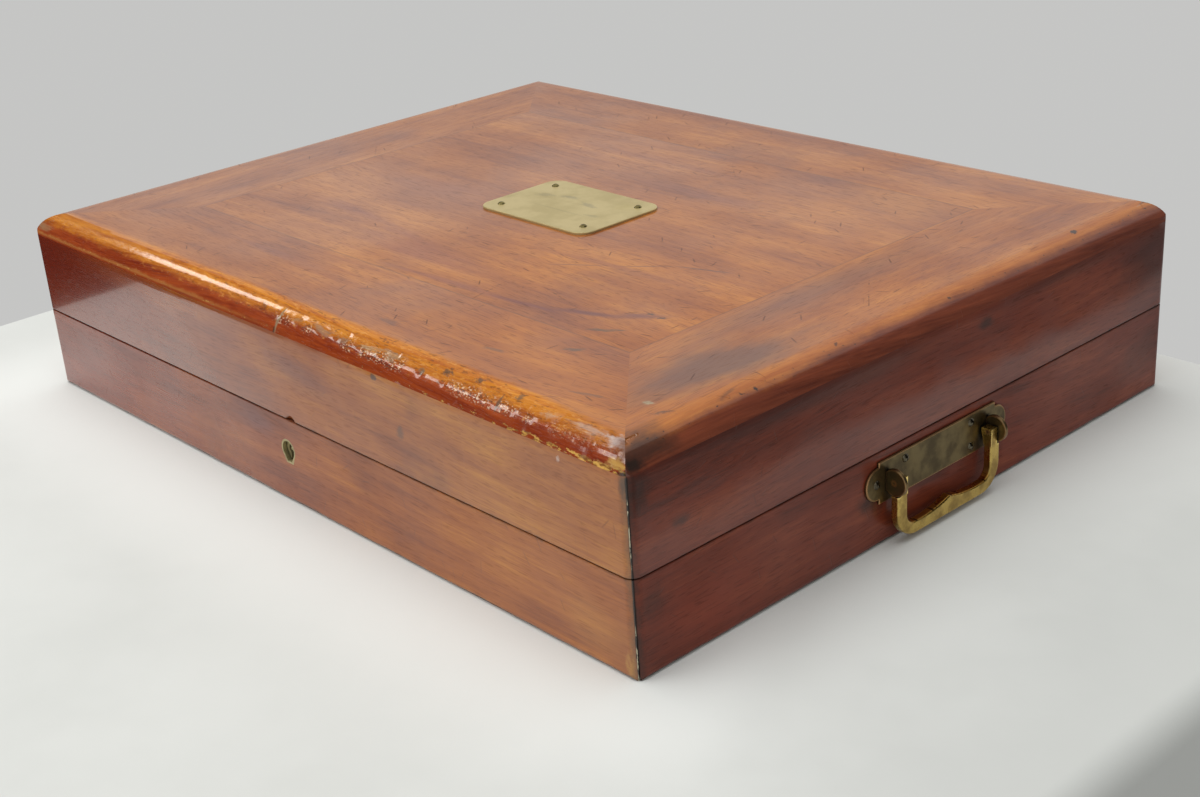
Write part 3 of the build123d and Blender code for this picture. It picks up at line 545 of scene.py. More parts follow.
def rolledEdge(place, xyz, edges, wood, worn, colour):
    # thick varnish on the round of the front edge: amber above, red below
    tones, bands = rollTones, rollBands
    crazeNoise = cloudy(place, (170, 520, 520), detail=3.0, rough=0.65)
    ragged = plus(plus(xyz[1], crazeNoise, 0.0050), worn, 0.0030)
    ragged = calc("ADD", ragged, spread(xyz[0], *bands["narrowing"]))
    onRoll = fade(ragged, *bands["backEdge"])
    level = plus(xyz[2], worn, 0.004)
    amber = tint(wood["Streak"], *tones["amber"])
    amber = tint(spread(xyz[0], *bands["nearCorner"]), amber, tones["amberNearCorner"])
    red = tint(wood["Streak"], *tones["red"])
    varnish = tint(spread(level, *bands["redToAmber"]), red, amber)
    leftLow = times(fade(level, *bands["thinBelow"]), fade(xyz[0], *bands["thinLeft"]),
                    spread(xyz[2], *bands["thinAbove"]))
    varnish = wash(varnish, tones["rubbedThin"], leftLow)
    colour = wash(colour, varnish, onRoll, 0.94)
    # crazing along the upper part, light and dark
    busy = spread(xyz[0], *bands["busy"])
    craze = times(onRoll, spread(level, *bands["crazed"]), busy)
    paleCraze = times(spread(crazeNoise, 0.58, 0.64), craze)
    darkCraze = times(fade(crazeNoise, 0.36, 0.42), craze)
    colour = wash(colour, tones["paleCraze"], paleCraze, 0.45)
    colour = wash(colour, tones["darkCraze"], darkCraze, 0.55)
    # crumbs of broken varnish where the round turns down
    crumbNoise = cloudy(place, (560, 950, 950), detail=1.0)
    cluster = cloudy(place, (70, 12, 12), detail=1.0)
    crumbs = times(spread(level, *bands["crumbsAbove"]), fade(level, *bands["crumbsBelow"]),
                   spread(xyz[0], *bands["crumbsFrom"]), spread(xyz[0], *bands["crumbsTo"]),
                   spread(cluster, 0.42, 0.56))
    paleCrumb = times(spread(crumbNoise, 0.58, 0.62), crumbs)
    darkCrumb = times(fade(crumbNoise, 0.38, 0.43), crumbs)
    colour = wash(colour, tones["paleCrumb"], paleCrumb, 0.75)
    colour = wash(colour, tones["darkCrumb"], darkCrumb, 0.70)
    # chips through the varnish along the lower right part
    low = fade(level, *bands["chipped"])
    chipNoise = cloudy(place, (150, 420, 420), detail=3.0, rough=0.65)
    where = times(low, spread(xyz[0], *bands["moreChips"], kind="LINEAR"))
    chips = times(spread(calc("ADD", chipNoise, where), 0.63, 0.68), low)
    bareWood = tint(spread(crazeNoise, 0.38, 0.62), *tones["bareWood"])
    colour = wash(colour, bareWood, chips, 0.9)
    colour = stained(place, rollMarks, colour)
    # painted shade: the upper varnish darkens towards the mitre at the right front corner, where the
    # round turns into the shaded right side
    fromMitre = minus(chest["halfWidth"] - chest["halfDepth"], calc("ADD", xyz[0], xyz[1]))
    paintedMitreShade = fade(plus(fromMitre, worn, 0.006), *bands["mitreShadeReach"])
    paintedMitreShade = times(paintedMitreShade, spread(level, *bands["mitreShadeAbove"]))
    colour = wash(colour, tones["atMitre"], paintedMitreShade, onRoll)
    height = plus(times(darkCraze, -1.2), chips, -2.5)
    height = plus(height, minus(paleCrumb, darkCrumb), 2.0)
    gloss = minus(times(onRoll, 0.25), times(chips, 0.35))
    flatBand = times(onRoll, busy, spread(xyz[1], *bands["flat"]))
    return colour, height, plus(gloss, flatBand, -0.80)


def darkRound(place, xyz, edges, wood, worn, colour):
    # the other rounds are rubbed orange above and darken to red brown as they turn down
    uneven = plus(plus(-0.003, wood["Ribbon"], 0.003), worn, 0.003)
    side = calc("ADD", edges["Side"], uneven)
    orange = tint(wood["Streak"], (0.34, 0.085, 0.012), (0.52, 0.180, 0.030))
    colour = wash(colour, orange, fade(side, 0.0110, 0.0175, 0.65))
    red = tint(wood["Streak"], (0.088, 0.015, 0.008), (0.21, 0.042, 0.018))
    turned = fade(side, 0.0040, 0.0100)
    colour = wash(colour, red, turned, 0.94)
    nicks = spread(cloudy(place, (420, 260, 420), detail=1.0), 0.70, 0.73)
    nicks = times(nicks, turned, minus(1.0, turned))
    colour = tint(calc("MULTIPLY", nicks, 3.0, clamp=True), colour, (0.02, 0.01, 0.008))
    return colour, times(nicks, -6.0), 0.0


boardLooks = {
    "top_panel": {
        "shift": (0.31, 0.17, 0.02),
        "stains": [
            topMark(0.165, 0.13, 0.06, 0.05, 0.0, 0.9, 0.95, 0.6, (0.45, 0.15, 0.006)),
            topMark(0.184, 0.06, 0.03, 0.06, 0.0, 0.9, 0.95, 0.35, (0.33, 0.09, 0.005)),
            topMark(-0.01, -0.112, 0.08, 0.022, -0.05, 1.0, 0.95, 0.45, (0.25, 0.075, 0.05)),
            topMark(0.045, -0.136, 0.08, 0.005, 0.04, 1.0, 0.9, 0.5, (0.17, 0.035, 0.034)),
            topMark(0.11, -0.1325, 0.034, 0.0034, 0.1, 0.8, 0.9, 0.6, (0.15, 0.03, 0.034)),
            topMark(0.147, -0.121, 0.032, 0.0046, 0.32, 0.8, 0.9, 0.78, (0.12, 0.026, 0.032)),
            topMark(0.177, -0.105, 0.022, 0.006, 0.6, 0.8, 0.9, 0.7, (0.13, 0.03, 0.034)),
            topMark(-0.09, -0.09, 0.09, 0.008, -0.1, 1.2, 0.95, 0.45, (0.2, 0.045, 0.03)),
            topMark(0.11, -0.06, 0.095, 0.007, 0.04, 1.2, 0.95, 0.45, (0.2, 0.05, 0.03)),
            topMark(0.086, -0.071, 0.026, 0.001, 0.56, 0.6, 0.7, 0.6, (0.12, 0.045, 0.03)),
            topMark(0.12, -0.049, 0.02, 0.001, 0.66, 0.6, 0.7, 0.65, (0.11, 0.04, 0.028)),
            topMark(0.152, -0.0325, 0.025, 0.0012, 0.31, 0.6, 0.7, 0.7, (0.1, 0.038, 0.026)),
            topMark(0.178, -0.1005, 0.003, 0.0014, 0.3, 2.0, 0.6, 0.8, (0.04, 0.022, 0.018), deep=0.01),
            topMark(0.187, -0.101, 0.003, 0.0015, 0.8, 2.0, 0.6, 0.8, (0.04, 0.022, 0.018), deep=0.01),
            topMark(0.175, -0.1315, 0.012, 0.0026, 0.6, 2.4, 0.7, 0.7, (0.07, 0.045, 0.025), deep=0.01),
            topMark(-0.1, -0.02, 0.09, 0.03, 0.05, 1.0, 0.95, 0.35, (0.21, 0.06, 0.04)),
            topMark(0.06, 0.07, 0.12, 0.01, 0.02, 1.0, 0.95, 0.35, (0.2, 0.055, 0.035)),
            topMark(-0.03, 0.11, 0.1, 0.012, -0.05, 1.0, 0.95, 0.35, (0.21, 0.06, 0.04)),
        ],
    },
    "top_front_border": {
        "shift": (0.9, 0.4, 0.1), "finish": rolledEdge, "coatRoughness": 0.08,
        "stains": [
            topMark(0.183, -0.16, 0.01, 0.0028, 0.5, 2.4, 0.7, 0.7, (0.08, 0.05, 0.03), deep=0.01),
            topMark(0.15, -0.186, 0.012, 0.0025, 0.2, 2.2, 0.7, 0.5, (0.1, 0.05, 0.03), deep=0.01),
            topMark(0.07, -0.196, 0.014, 0.003, -0.1, 2.2, 0.7, 0.45, (0.12, 0.05, 0.03), deep=0.01),
            topMark(-0.06, -0.17, 0.1, 0.006, -0.04, 1.4, 0.9, 0.4, (0.2, 0.055, 0.035), deep=0.01),
            topMark(0.23, -0.195, 0.012, 0.002, 0.3, 2.4, 0.7, 0.5, (0.1, 0.05, 0.03), deep=0.01),
        ],
    },
    "top_back_border": {"shift": (1.7, 0.8, 0.3), "finish": darkRound},
    "top_left_border": {"shift": (0.5, 2.4, 0.2), "turn": quarter, "finish": darkRound},
    "top_right_border": {
        "shift": (2.2, 1.1, 0.5), "turn": quarter, "finish": darkRound,
        "stains": [
            topMark(0.226, -0.02, 0.02, 0.17, 0.0, 0.8, 0.9, 0.62, (0.14, 0.048, 0.032)),
            topMark(0.254, -0.125, 0.03, 0.085, -0.1, 1.0, 0.9, 0.85, (0.125, 0.056, 0.04)),
            topMark(0.261, -0.183, 0.0042, 0.0026, 0.3, 1.6, 0.8, 0.7, (0.34, 0.31, 0.19), deep=0.01),
        ],
        "marksOver": [
            mark((0.284, -0.212, 0.118), (0.016, 0.032, 0.012), 1.5, 0.9, 0.8, (0.045, 0.02, 0.013)),
            mark((0.29, -0.223, 0.113), (0.006, 0.009, 0.008), 1.4, 0.9, 0.9, (0.018, 0.012, 0.009)),
            mark((0.274, -0.186, 0.1215), (0.007, 0.003, 0.01), 2.4, 0.8, 0.65,
                 (0.045, 0.02, 0.012), turn=0.9),
            mark((0.281, -0.15, 0.121), (0.0016, 0.012, 0.01), 2.4, 0.8, 0.5,
                 (0.06, 0.022, 0.012), turn=0.1),
            mark((0.2845, -0.134, 0.119), (0.0014, 0.0014, 0.003), 1.2, 0.5, 0.9, (0.012, 0.008, 0.008)),
            mark((0.281, -0.07, 0.1205), (0.0013, 0.0022, 0.003), 1.4, 0.6, 0.75,
                 (0.04, 0.016, 0.01), turn=0.4),
            mark((0.284, 0.02, 0.1195), (0.0011, 0.0016, 0.003), 1.4, 0.6, 0.8, (0.03, 0.015, 0.01)),
            topMark(0.279, 0.145, 0.0022, 0.0036, 0.3, 1.2, 0.5, 0.9, (0.03, 0.025, 0.025), deep=0.01),
        ],
    },
    "lid_front": {
        "shift": (0.2, 0.6, 0.9), "coat": 0.88,
        "stains": [
            frontMark(0.098, 0.1075, 0.0035, 0.002, 0.0, 0.9, 0.4, 0.8, (0.05, 0.03, 0.03)),
            frontMark(0.117, 0.081, 0.004, 0.006, 0.4, 0.9, 0.7, 0.6, (0.07, 0.04, 0.03)),
            frontMark(0.245, 0.105, 0.0016, 0.0024, 0.0, 2.0, 0.6, 0.6, (0.55, 0.42, 0.36)),
            frontMark(0.289, 0.1035, 0.005, 0.009, 0.0, 1.5, 0.9, 0.85, (0.03, 0.016, 0.012)),
            frontMark(0.02, 0.09, 0.05, 0.016, 0.1, 1.0, 0.95, 0.45, (0.13, 0.055, 0.06)),
            # painted reflection: this mark darkens the left end of the lid front, where the varnish
            # mirrors the dark room beyond the table
            frontMark(-0.27, 0.092, 0.13, 0.06, 0.1, 0.5, 0.9, 0.8, (0.15, 0.013, 0.004)),
        ],
    },
    "lid_back": {"shift": (1.1, 1.9, 0.4)},
    "lid_left_side": {"shift": (3.2, 0.3, 0.6), "turn": quarter},
    "lid_right_side": {
        "shift": (2.6, 1.4, 0.1), "turn": quarter, "glossBand": (0.058, 0.094, 0.72), "coat": 0.15,
        "stains": [
            # painted reflection: the first two marks darken a band along the top of the side, where the
            # varnish mirrors the dark room beyond the table
            sideMark(-0.1, 0.106, 0.16, 0.011, 0.8, 0.9, 0.7, (0.055, 0.018, 0.014)),
            sideMark(0.12, 0.1075, 0.13, 0.008, 0.8, 0.9, 0.6, (0.055, 0.018, 0.014)),
            sideMark(0.043, 0.1, 0.01, 0.005, 1.0, 0.8, 0.7, (0.025, 0.014, 0.012)),
            sideMark(0.215, 0.09, 0.06, 0.04, 0.8, 0.9, 0.8, (0.05, 0.013, 0.009)),
            sideMark(-0.196, 0.075, 0.008, 0.004, 1.0, 0.8, 0.6, (0.03, 0.016, 0.012)),
            sideMark(-0.222, 0.098, 0.01, 0.015, 1.3, 0.9, 0.75, (0.025, 0.013, 0.01)),
            sideMark(-0.134, 0.118, 0.002, 0.003, 0.6, 0.5, 0.9, (0.015, 0.01, 0.01)),
        ],
    },
    "base_front": {
        "shift": (0.7, 2.9, 0.3), "coat": 0.42, "warm": (1.75, 3.45, 1.2),
        "stains": [
            frontMark(0.262, 0.02, 0.034, 0.024, 0.0, 0.7, 0.9, 0.35, (0.42, 0.18, 0.035)),
            frontMark(0.284, 0.012, 0.02, 0.03, 0.0, 0.9, 0.9, 0.5, (0.26, 0.075, 0.012)),
            frontMark(-0.03, 0.044, 0.03, 0.01, 0.1, 1.0, 0.9, 0.45, (0.15, 0.06, 0.065)),
            mark((0.287, -0.228, 0.007), (0.005, 0.01, 0.012), 2.2, 0.9, 0.75, (0.44, 0.22, 0.045)),
        ],
    },
    "base_back": {"shift": (1.9, 3.1, 0.8)},
    "base_left_side": {"shift": (4.2, 1.3, 0.2), "turn": quarter},
    "base_right_side": {
        "shift": (3.6, 2.2, 0.7), "turn": quarter,
        "stains": [
            # painted shadow with some grime: the first three marks darken the wood under the two lugs and
            # under the handle plate
            sideMark(-0.056, 0.03, 0.014, 0.016, 1.2, 0.9, 0.75, (0.022, 0.01, 0.008)),
            sideMark(0.056, 0.033, 0.012, 0.016, 1.2, 0.9, 0.6, (0.022, 0.01, 0.008)),
            sideMark(0.0, 0.028, 0.05, 0.008, 1.2, 0.9, 0.55, (0.045, 0.01, 0.007)),
            sideMark(-0.216, 0.04, 0.012, 0.012, 1.3, 0.9, 0.5, (0.035, 0.016, 0.012)),
            sideMark(-0.18, 0.02, 0.05, 0.03, 1.0, 0.9, 0.5, (0.22, 0.032, 0.011)),
            sideMark(0.205, 0.028, 0.03, 0.025, 1.2, 0.9, 0.35, (0.09, 0.022, 0.01)),
        ],
    },
}

topTones = {
    "dark": (0.195, 0.044, 0.007), "mid": (0.32, 0.096, 0.015), "light": (0.45, 0.165, 0.029),
    "fine": 0.30, "pore": 0.45, "poreTone": (0.13, 0.034, 0.008),
    "warm": (1.14, 1.08, 0.42), "scratch": 0.75, "nick": 0.65, "scratchTone": (0.07, 0.028, 0.020),
}
frontTones = {
    "dark": (0.118, 0.0135, 0.0045), "mid": (0.197, 0.028, 0.008), "light": (0.275, 0.051, 0.012),
    "warm": (1.73, 3.60, 1.31), "warmFrom": -0.14, "warmTo": 0.40, "stainColour": (0.11, 0.030, 0.022),
    "specular": 0.8, "coatIOR": 1.9, "coatRoughness": 0.08, "coatFade": (-0.12, 0.06, 0.30),
    "roughFrom": 0.10, "roughness": 0.34, "plane": (1, 0, 1), "pore": 0.2, "filled": True,
    "blotch": 0.5, "nearCorner": 0.6, "relief": 0.18,
}
sideTones = {
    "dark": (0.085, 0.014, 0.006), "mid": (0.165, 0.027, 0.010), "light": (0.245, 0.052, 0.018),
    "plane": (0, 1, 1), "coat": 0.30, "coatIOR": 1.5, "speck": 0.5, "blotch": 0.45,
    "nearCorner": 0.9, "cornerRub": 0.0,
}
for boardName, own in boardLooks.items():
    tones = sideTones if boardName.endswith("side") else frontTones
    if boardName.startswith("top"):
        tones = topTones
    boardLooks[boardName] = {**tones, **own}


# mesh tools

def pieceFrom(name, bm, material, sharpFrom=36):
    # an object from a finished bmesh, smooth up to an angle in degrees
    mesh = bpy.data.meshes.new(name)
    bm.to_mesh(mesh)
    bm.free()
    mesh.shade_smooth()
    mesh.set_sharp_from_angle(angle=math.radians(sharpFrom))
    mesh.materials.append(material)
    piece = bpy.data.objects.new(name, mesh)
    bpy.context.scene.collection.objects.link(piece)
    return piece


def freshPiece(name, bm, material, body, nodeName):
    # a piece of the chest: what it rides on and the node it stands for
    piece = pieceFrom(name, bm, material)
    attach(piece, body)
    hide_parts(nodeName)
    return piece


def evenShading(piece):
    piece.modifiers.new("evened", "WEIGHTED_NORMAL").keep_sharp = True


def copiedNode(nodeName):
    # a clean bmesh of a CAD node: one skin, flat areas in one face
    bm = bmesh.new()
    bm.from_mesh(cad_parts[nodeName].data)
    bmesh.ops.remove_doubles(bm, verts=bm.verts, dist=1e-6)
    bmesh.ops.dissolve_limit(bm, angle_limit=math.radians(0.5), verts=bm.verts, edges=bm.edges)
    return bm


def slicedAlong(bm, axis, spacing, low, high):
    # cuts across one axis, so that the surface can be worked in fine steps
    direction = Vector([float(index == axis) for index in range(3)])
    count = int((high - low) / spacing)
    for step in range(1, count):
        point = direction * (low + step * (high - low) / count)
        geometry = bm.verts[:] + bm.edges[:] + bm.faces[:]
        bmesh.ops.bisect_plane(bm, geom=geometry, dist=1e-7, plane_co=point, plane_no=direction)


def moved(bm, vec):
    bmesh.ops.translate(bm, vec=vec, verts=bm.verts)


def standingBox(size):
    # a box on z 0 with its middle over the origin
    bm = bmesh.new()
    bmesh.ops.create_cube(bm, size=1.0)
    bmesh.ops.scale(bm, vec=size, verts=bm.verts)
    moved(bm, (0, 0, size[2] / 2))
    return bm


def softened(bm, edges, offset, segments, **more):
    bmesh.ops.bevel(bm, geom=edges, offset=offset, segments=segments, profile=0.5, affect="EDGES",
                    material=-1, **more)


def outsideGap(point):
    # how deep a point lies under the outside of the walls, seen from above
    radius = chest["cornerRound"]
    alongX = abs(point.x) - (chest["halfWidth"] - radius)
    alongY = abs(point.y) - (chest["halfDepth"] - radius)
    return radius - math.hypot(max(alongX, 0), max(alongY, 0)) - min(max(alongX, alongY), 0)


def easedRims(bm, offset):
    # rounds the edges that hands and the other half of the case meet
    rims = []
    for edge in bm.edges:
        ends = [vertex.co for vertex in edge.verts]
        atLine = all(abs(abs(end.z - chest["split"]) - chest["gap"] / 2) < 2e-5 for end in ends)
        if atLine and all(outsideGap(end) < 3e-5 for end in ends):
            rims.append(edge)
    if rims:
        softened(bm, rims, offset, 3, clamp_overlap=True)


boardMesh = {
    "easedRim": 0.0005,
    "slice": 0.012,
    "panelGrowth": 0.0001,
}


def dressedBoard(nodeName, body):
    own = boardLooks[nodeName]
    bm = copiedNode(nodeName)
    easedRims(bm, boardMesh["easedRim"])
    axis = 1 if own.get("turn") else 0
    half = chest["halfDepth"] if axis else chest["halfWidth"]
    slicedAlong(bm, axis, own.get("slice", boardMesh["slice"]), -half, half)
    if "wear" in own:
        for vertex in bm.verts:
            vertex.co += own["wear"](vertex.co.copy())
    material = mahogany("mahogany_" + nodeName, own)
    piece = freshPiece(nodeName + "_wood", bm, material, body, nodeName)
    for polygon in piece.data.polygons:
        if max(abs(value) for value in polygon.normal) > 0.99999:
            polygon.use_smooth = False
    evenShading(piece)


def knock(point, centre, reach, depth):
    # depth of one dent at a point, round or long, fading out at its reach
    off = sum(((point[i] - centre[i]) / reach[i]) ** 2 for i in range(3))
    return depth * math.exp(-off * 2) if off < 4 else 0.0


# dents in the front round: place, reach and depth
frontKnocks = [
    ((0.004, -0.2235, 0.1170), (0.0016, 0.012, 0.012), 0.0004),
    ((0.020, -0.2225, 0.1190), (0.0040, 0.004, 0.003), 0.0003),
    ((0.043, -0.2225, 0.1187), (0.0060, 0.004, 0.003), 0.0004),
    ((0.063, -0.2235, 0.1180), (0.0040, 0.003, 0.003), 0.0002),
    ((0.082, -0.2227, 0.1186), (0.0060, 0.004, 0.003), 0.0003),
    ((0.100, -0.2213, 0.1196), (0.0050, 0.004, 0.003), 0.0003),
    ((0.116, -0.2213, 0.1196), (0.0040, 0.004, 0.003), 0.0002),
    ((0.134, -0.2237, 0.1177), (0.0030, 0.004, 0.004), 0.0003),
    ((0.151, -0.2192, 0.1208), (0.0030, 0.003, 0.003), 0.0002),
    ((0.196, -0.2233, 0.1181), (0.0030, 0.004, 0.004), 0.0003),
    ((0.209, -0.2272, 0.1131), (0.0060, 0.002, 0.003), 0.0004),
    ((0.222, -0.2274, 0.1127), (0.0050, 0.002, 0.003), 0.0004),
    ((0.245, -0.2265, 0.1140), (0.0070, 0.002, 0.003), 0.0004),
    ((0.261, -0.2261, 0.1149), (0.0070, 0.002, 0.003), 0.0004),
    ((0.282, -0.2240, 0.1149), (0.0040, 0.004, 0.004), 0.0004),
    ((0.240, -0.2200, 0.1200), (0.0080, 0.004, 0.003), 0.0002),
    ((0.268, -0.2200, 0.1200), (0.0090, 0.004, 0.003), 0.0004),
]


def frontRoundWear(point):
    # pulls the front round in where it is knocked
    middle = Vector((0, chest["roll"] - chest["halfDepth"], chest["height"] - chest["roll"]))
    if point.y > middle.y - 0.0005 or point.z < middle.z - 0.0014:
        return Vector()
    inward = Vector((0, middle.y - point.y, middle.z - point.z))
    if inward.length < chest["roll"] - 0.0005:
        return Vector()
    rough = noise.noise(point * 160) + 0.5 * noise.noise(point * 420)
    busy = min(max((point.x + 0.02) / 0.08, 0.25), 1.0)
    depth = sum(knock(point, *one) for one in frontKnocks) + max(rough - 0.25, 0.0) * 0.0006 * busy
    return inward.normalized() * depth


boardLooks["top_front_border"].update(slice=0.0015, wear=frontRoundWear)
boardLooks["lid_front"].update(slice=0.003, wear=frontRoundWear)

# wear of the foot and of the mitre that has opened
foot = {
    "height": 0.004,          # how far up the wear reaches
    "depth": 0.0015,
    "lift": 0.0012,
}
crack = {
    "opening": 0.0011,
    "reach": 0.010,
}


def baseFootWear(point):
    # the foot of the base is worn a little uneven
    if point.z > foot["height"] or outsideGap(point) > foot["depth"]:
        return Vector()
    lift = max(noise.noise(Vector((point.x, point.y, 0)) * 55) + 0.1, 0.0) * foot["lift"]
    return Vector((0, 0, lift * (1 - point.z / foot["height"])))


def crackedCorner(point):
    # the mitre at the right front corner has opened towards the foot
    move = baseFootWear(point)
    fromEnd, fromFront = chest["halfWidth"] - point.x, chest["halfDepth"] + point.y
    atMitre = point.x > 0 and point.y < 0 and abs(fromEnd - fromFront) < 2e-5
    if atMitre and fromFront < crack["reach"]:
        share = (1 - point.z / chest["rim"]) * (1 - fromFront / crack["reach"])
        move += Vector((0, crack["opening"] * share, 0))
    return move


def tightPanel(point):
    # the panel's upper edges grow by a tenth of a millimetre to meet the border
    move = Vector()
    if point.z > 0.118:
        for axis, half in enumerate((chest["halfWidth"], chest["halfDepth"])):
            if abs(point[axis]) > half - chest["border"] - 2 * boardMesh["panelGrowth"]:
                move[axis] = math.copysign(boardMesh["panelGrowth"], point[axis])
    return move


for boardName in ("base_front", "base_back", "base_left_side", "base_right_side"):
    boardLooks[boardName].update(slice=0.003, wear=baseFootWear)
boardLooks["base_right_side"]["wear"] = crackedCorner
boardLooks["top_panel"]["wear"] = tightPanel

for boardName in boardLooks:
    dressedBoard(boardName, "case" if boardName.startswith("base") else "lid")
print("boards dressed")

# metals

def makeMetalAge():
    # tarnish, rubbed edges and dirt in the corners of old brass
    tree, given, out = openGroup(
        "metalAge", [("Vector", "Vector", None), ("Size", "Float", 60.0), ("Reach", "Float", 0.0015)],
        ["Tarnish", "Rub", "Dirt", "Height"])
    cloud = cloudy(given["Vector"], given["Size"], 4.0, 0.6)
    grit = cloudy(given["Vector"], 900.0, 2.0, 0.6)
    edge = addNode("AmbientOcclusion", {"Distance": given["Reach"]}, samples=8, inside=True)
    deep = addNode("AmbientOcclusion", {"Distance": times(given["Reach"], 2.0)}, samples=8)
    feed(out["Tarnish"], spread(cloud, 0.36, 0.66))
    feed(out["Rub"], fade(plus(edge.outputs["AO"], grit, 0.12), 0.60, 0.95))
    feed(out["Dirt"], fade(plus(deep.outputs["AO"], grit, 0.15), 0.55, 0.95))
    feed(out["Height"], plus(cloud, grit, 0.3))
    return tree


metalAge = makeMetalAge()


def oldMetal(name, look):
    material, shader, place = newMaterial(name)
    age = useGroup(metalAge, {"Vector": place, "Size": look["size"], "Reach": look["reach"]})
    colour = tint(age["Tarnish"], look["clean"], look["tarnished"])
    colour = wash(colour, look["rubbed"], age["Rub"], look["rub"])
    colour = wash(colour, look["dirtTone"], age["Dirt"], look["dirt"])
    if "finish" in look:
        colour = look["finish"](place, colour)
    feed(shader["Base Color"], colour)
    feed(shader["Metallic"], look.get("metallic", 1.0))
    dull = plus(look["roughness"], age["Tarnish"], look["roughSpread"])
    dull = plus(dull, age["Dirt"], 0.25)
    feed(shader["Roughness"], plus(dull, age["Rub"], -0.1, clamp=True))
    roughen(shader, age["Height"], look["bump"], 0.0002)
    return material


def barTopReflectionAndNotches(place, colour):
    # painted reflection: the upward faces of the bar between the arms take the warm brown of the wood
    # they mirror, and the bar has dark notches
    xyz = axes(place)
    facing = axes(addNode("NewGeometry", {}, place.id_data).outputs["Normal"])[2]
    bar = times(fade(xyz[2], 0.018, 0.021), spread(facing, 0.35, 0.65))
    colour = wash(colour, (0.52, 0.25, 0.045), bar, 0.75)
    notch = spread(cloudy(place, (60, 420, 60)), 0.56, 0.62)
    return wash(colour, (0.045, 0.022, 0.008), notch, bar, 0.9)


# faint generic smudges on the bare name plate
plateSmudges = [
    mark((-0.03, 0.006, 0.124), (0.011, 0.004, 0.01), 2.0, 0.9, 0.4, (0.3, 0.26, 0.15), turn=0.1),
    mark((-0.012, 0.012, 0.124), (0.009, 0.004, 0.01), 2.0, 0.9, 0.45, (0.26, 0.23, 0.15), turn=0.3),
    mark((0.01, 0.008, 0.124), (0.01, 0.004, 0.01), 2.0, 0.9, 0.45, (0.26, 0.23, 0.15), turn=-0.1),
    mark((0.029, -0.006, 0.124), (0.008, 0.003, 0.01), 2.0, 0.9, 0.35, (0.3, 0.26, 0.15), turn=0.2),
    mark((0.0, -0.01, 0.124), (0.04, 0.0012, 0.01), 1.2, 0.9, 0.25, (0.32, 0.27, 0.15)),
    mark((0.034, 0.02, 0.124), (0.014, 0.01, 0.01), 1.2, 0.95, 0.35, (0.62, 0.5, 0.2)),
]


def smudged(place, colour):
    return stained(place, plateSmudges, colour)


metals = {
    "aged_brass": {
        "clean": (0.50, 0.38, 0.16), "tarnished": (0.30, 0.22, 0.10), "size": 70.0, "reach": 0.0012,
        "rubbed": (0.70, 0.56, 0.28), "rub": 0.7, "dirtTone": (0.05, 0.04, 0.025), "dirt": 0.85,
        "roughness": 0.30, "roughSpread": 0.15, "bump": 0.25,
    },
    "plate_brass": {
        "clean": (0.66, 0.53, 0.25), "tarnished": (0.56, 0.45, 0.21), "size": 38.0, "reach": 0.0008,
        "rubbed": (0.86, 0.74, 0.42), "rub": 0.9, "dirtTone": (0.16, 0.12, 0.05), "dirt": 0.6,
        "roughness": 0.34, "roughSpread": 0.10, "bump": 0.06, "metallic": 0.6, "finish": smudged,
    },
    "dark_brass": {
        "clean": (0.20, 0.150, 0.070), "tarnished": (0.115, 0.085, 0.045), "size": 75.0, "reach": 0.0016,
        "rubbed": (0.56, 0.31, 0.14), "rub": 0.95, "dirtTone": (0.02, 0.016, 0.012), "dirt": 0.85,
        "roughness": 0.38, "roughSpread": 0.10, "bump": 0.12,
    },
    "bail_brass": {
        "clean": (0.60, 0.42, 0.12), "tarnished": (0.36, 0.235, 0.070), "size": 110.0, "reach": 0.0016,
        "rubbed": (0.95, 0.72, 0.26), "rub": 1.0, "dirtTone": (0.05, 0.028, 0.010), "dirt": 0.9,
        "roughness": 0.24, "roughSpread": 0.16, "bump": 0.3, "finish": barTopReflectionAndNotches,
    },
    "dull_brass": {
        "clean": (0.40, 0.34, 0.17), "tarnished": (0.26, 0.22, 0.11), "size": 160.0, "reach": 0.0010,
        "rubbed": (0.46, 0.38, 0.19), "rub": 0.5, "dirtTone": (0.05, 0.04, 0.02), "dirt": 0.7,
        "roughness": 0.36, "roughSpread": 0.14, "bump": 0.2, "metallic": 0.45,
    },
    "pin_brass": {
        "clean": (0.40, 0.33, 0.13), "tarnished": (0.24, 0.19, 0.08), "size": 260.0, "reach": 0.0005,
        "rubbed": (0.80, 0.68, 0.38), "rub": 0.0, "dirtTone": (0.06, 0.045, 0.02), "dirt": 0.9,
        "roughness": 0.20, "roughSpread": 0.10, "bump": 0.1,
    },
    "screw_steel": {
        "clean": (0.15, 0.13, 0.09), "tarnished": (0.07, 0.06, 0.042), "size": 300.0, "reach": 0.0004,
        "rubbed": (0.36, 0.30, 0.20), "rub": 0.2, "dirtTone": (0.012, 0.010, 0.008), "dirt": 0.95,
        "roughness": 0.20, "roughSpread": 0.14, "bump": 0.2,
    },
    "steel": {
        "clean": (0.44, 0.43, 0.41), "tarnished": (0.25, 0.22, 0.19), "size": 150.0, "reach": 0.0006,
        "rubbed": (0.62, 0.61, 0.58), "rub": 0.5, "dirtTone": (0.06, 0.04, 0.03), "dirt": 0.8,
        "roughness": 0.32, "roughSpread": 0.16, "bump": 0.2,
    },
}
finishOf = {name: oldMetal(name + "_aged", look) for name, look in metals.items()}

# the other metal pieces take the finish that their node's material names
ownFinish = {"lock_cap": "dull_brass", "keyhole_escutcheon": "dull_brass", "lock_drill_pin": "dull_brass",
             "name_plate_pins": "pin_brass"}
for nodeName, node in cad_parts.items():
    if node.hide_render or not node.material_slots:
        continue
    slot = node.material_slots[0]
    plainName = ownFinish.get(nodeName, slot.material.name.split(".")[0])
    if plainName in finishOf:
        slot.material = finishOf[plainName]
print("metals finished")

# cloth

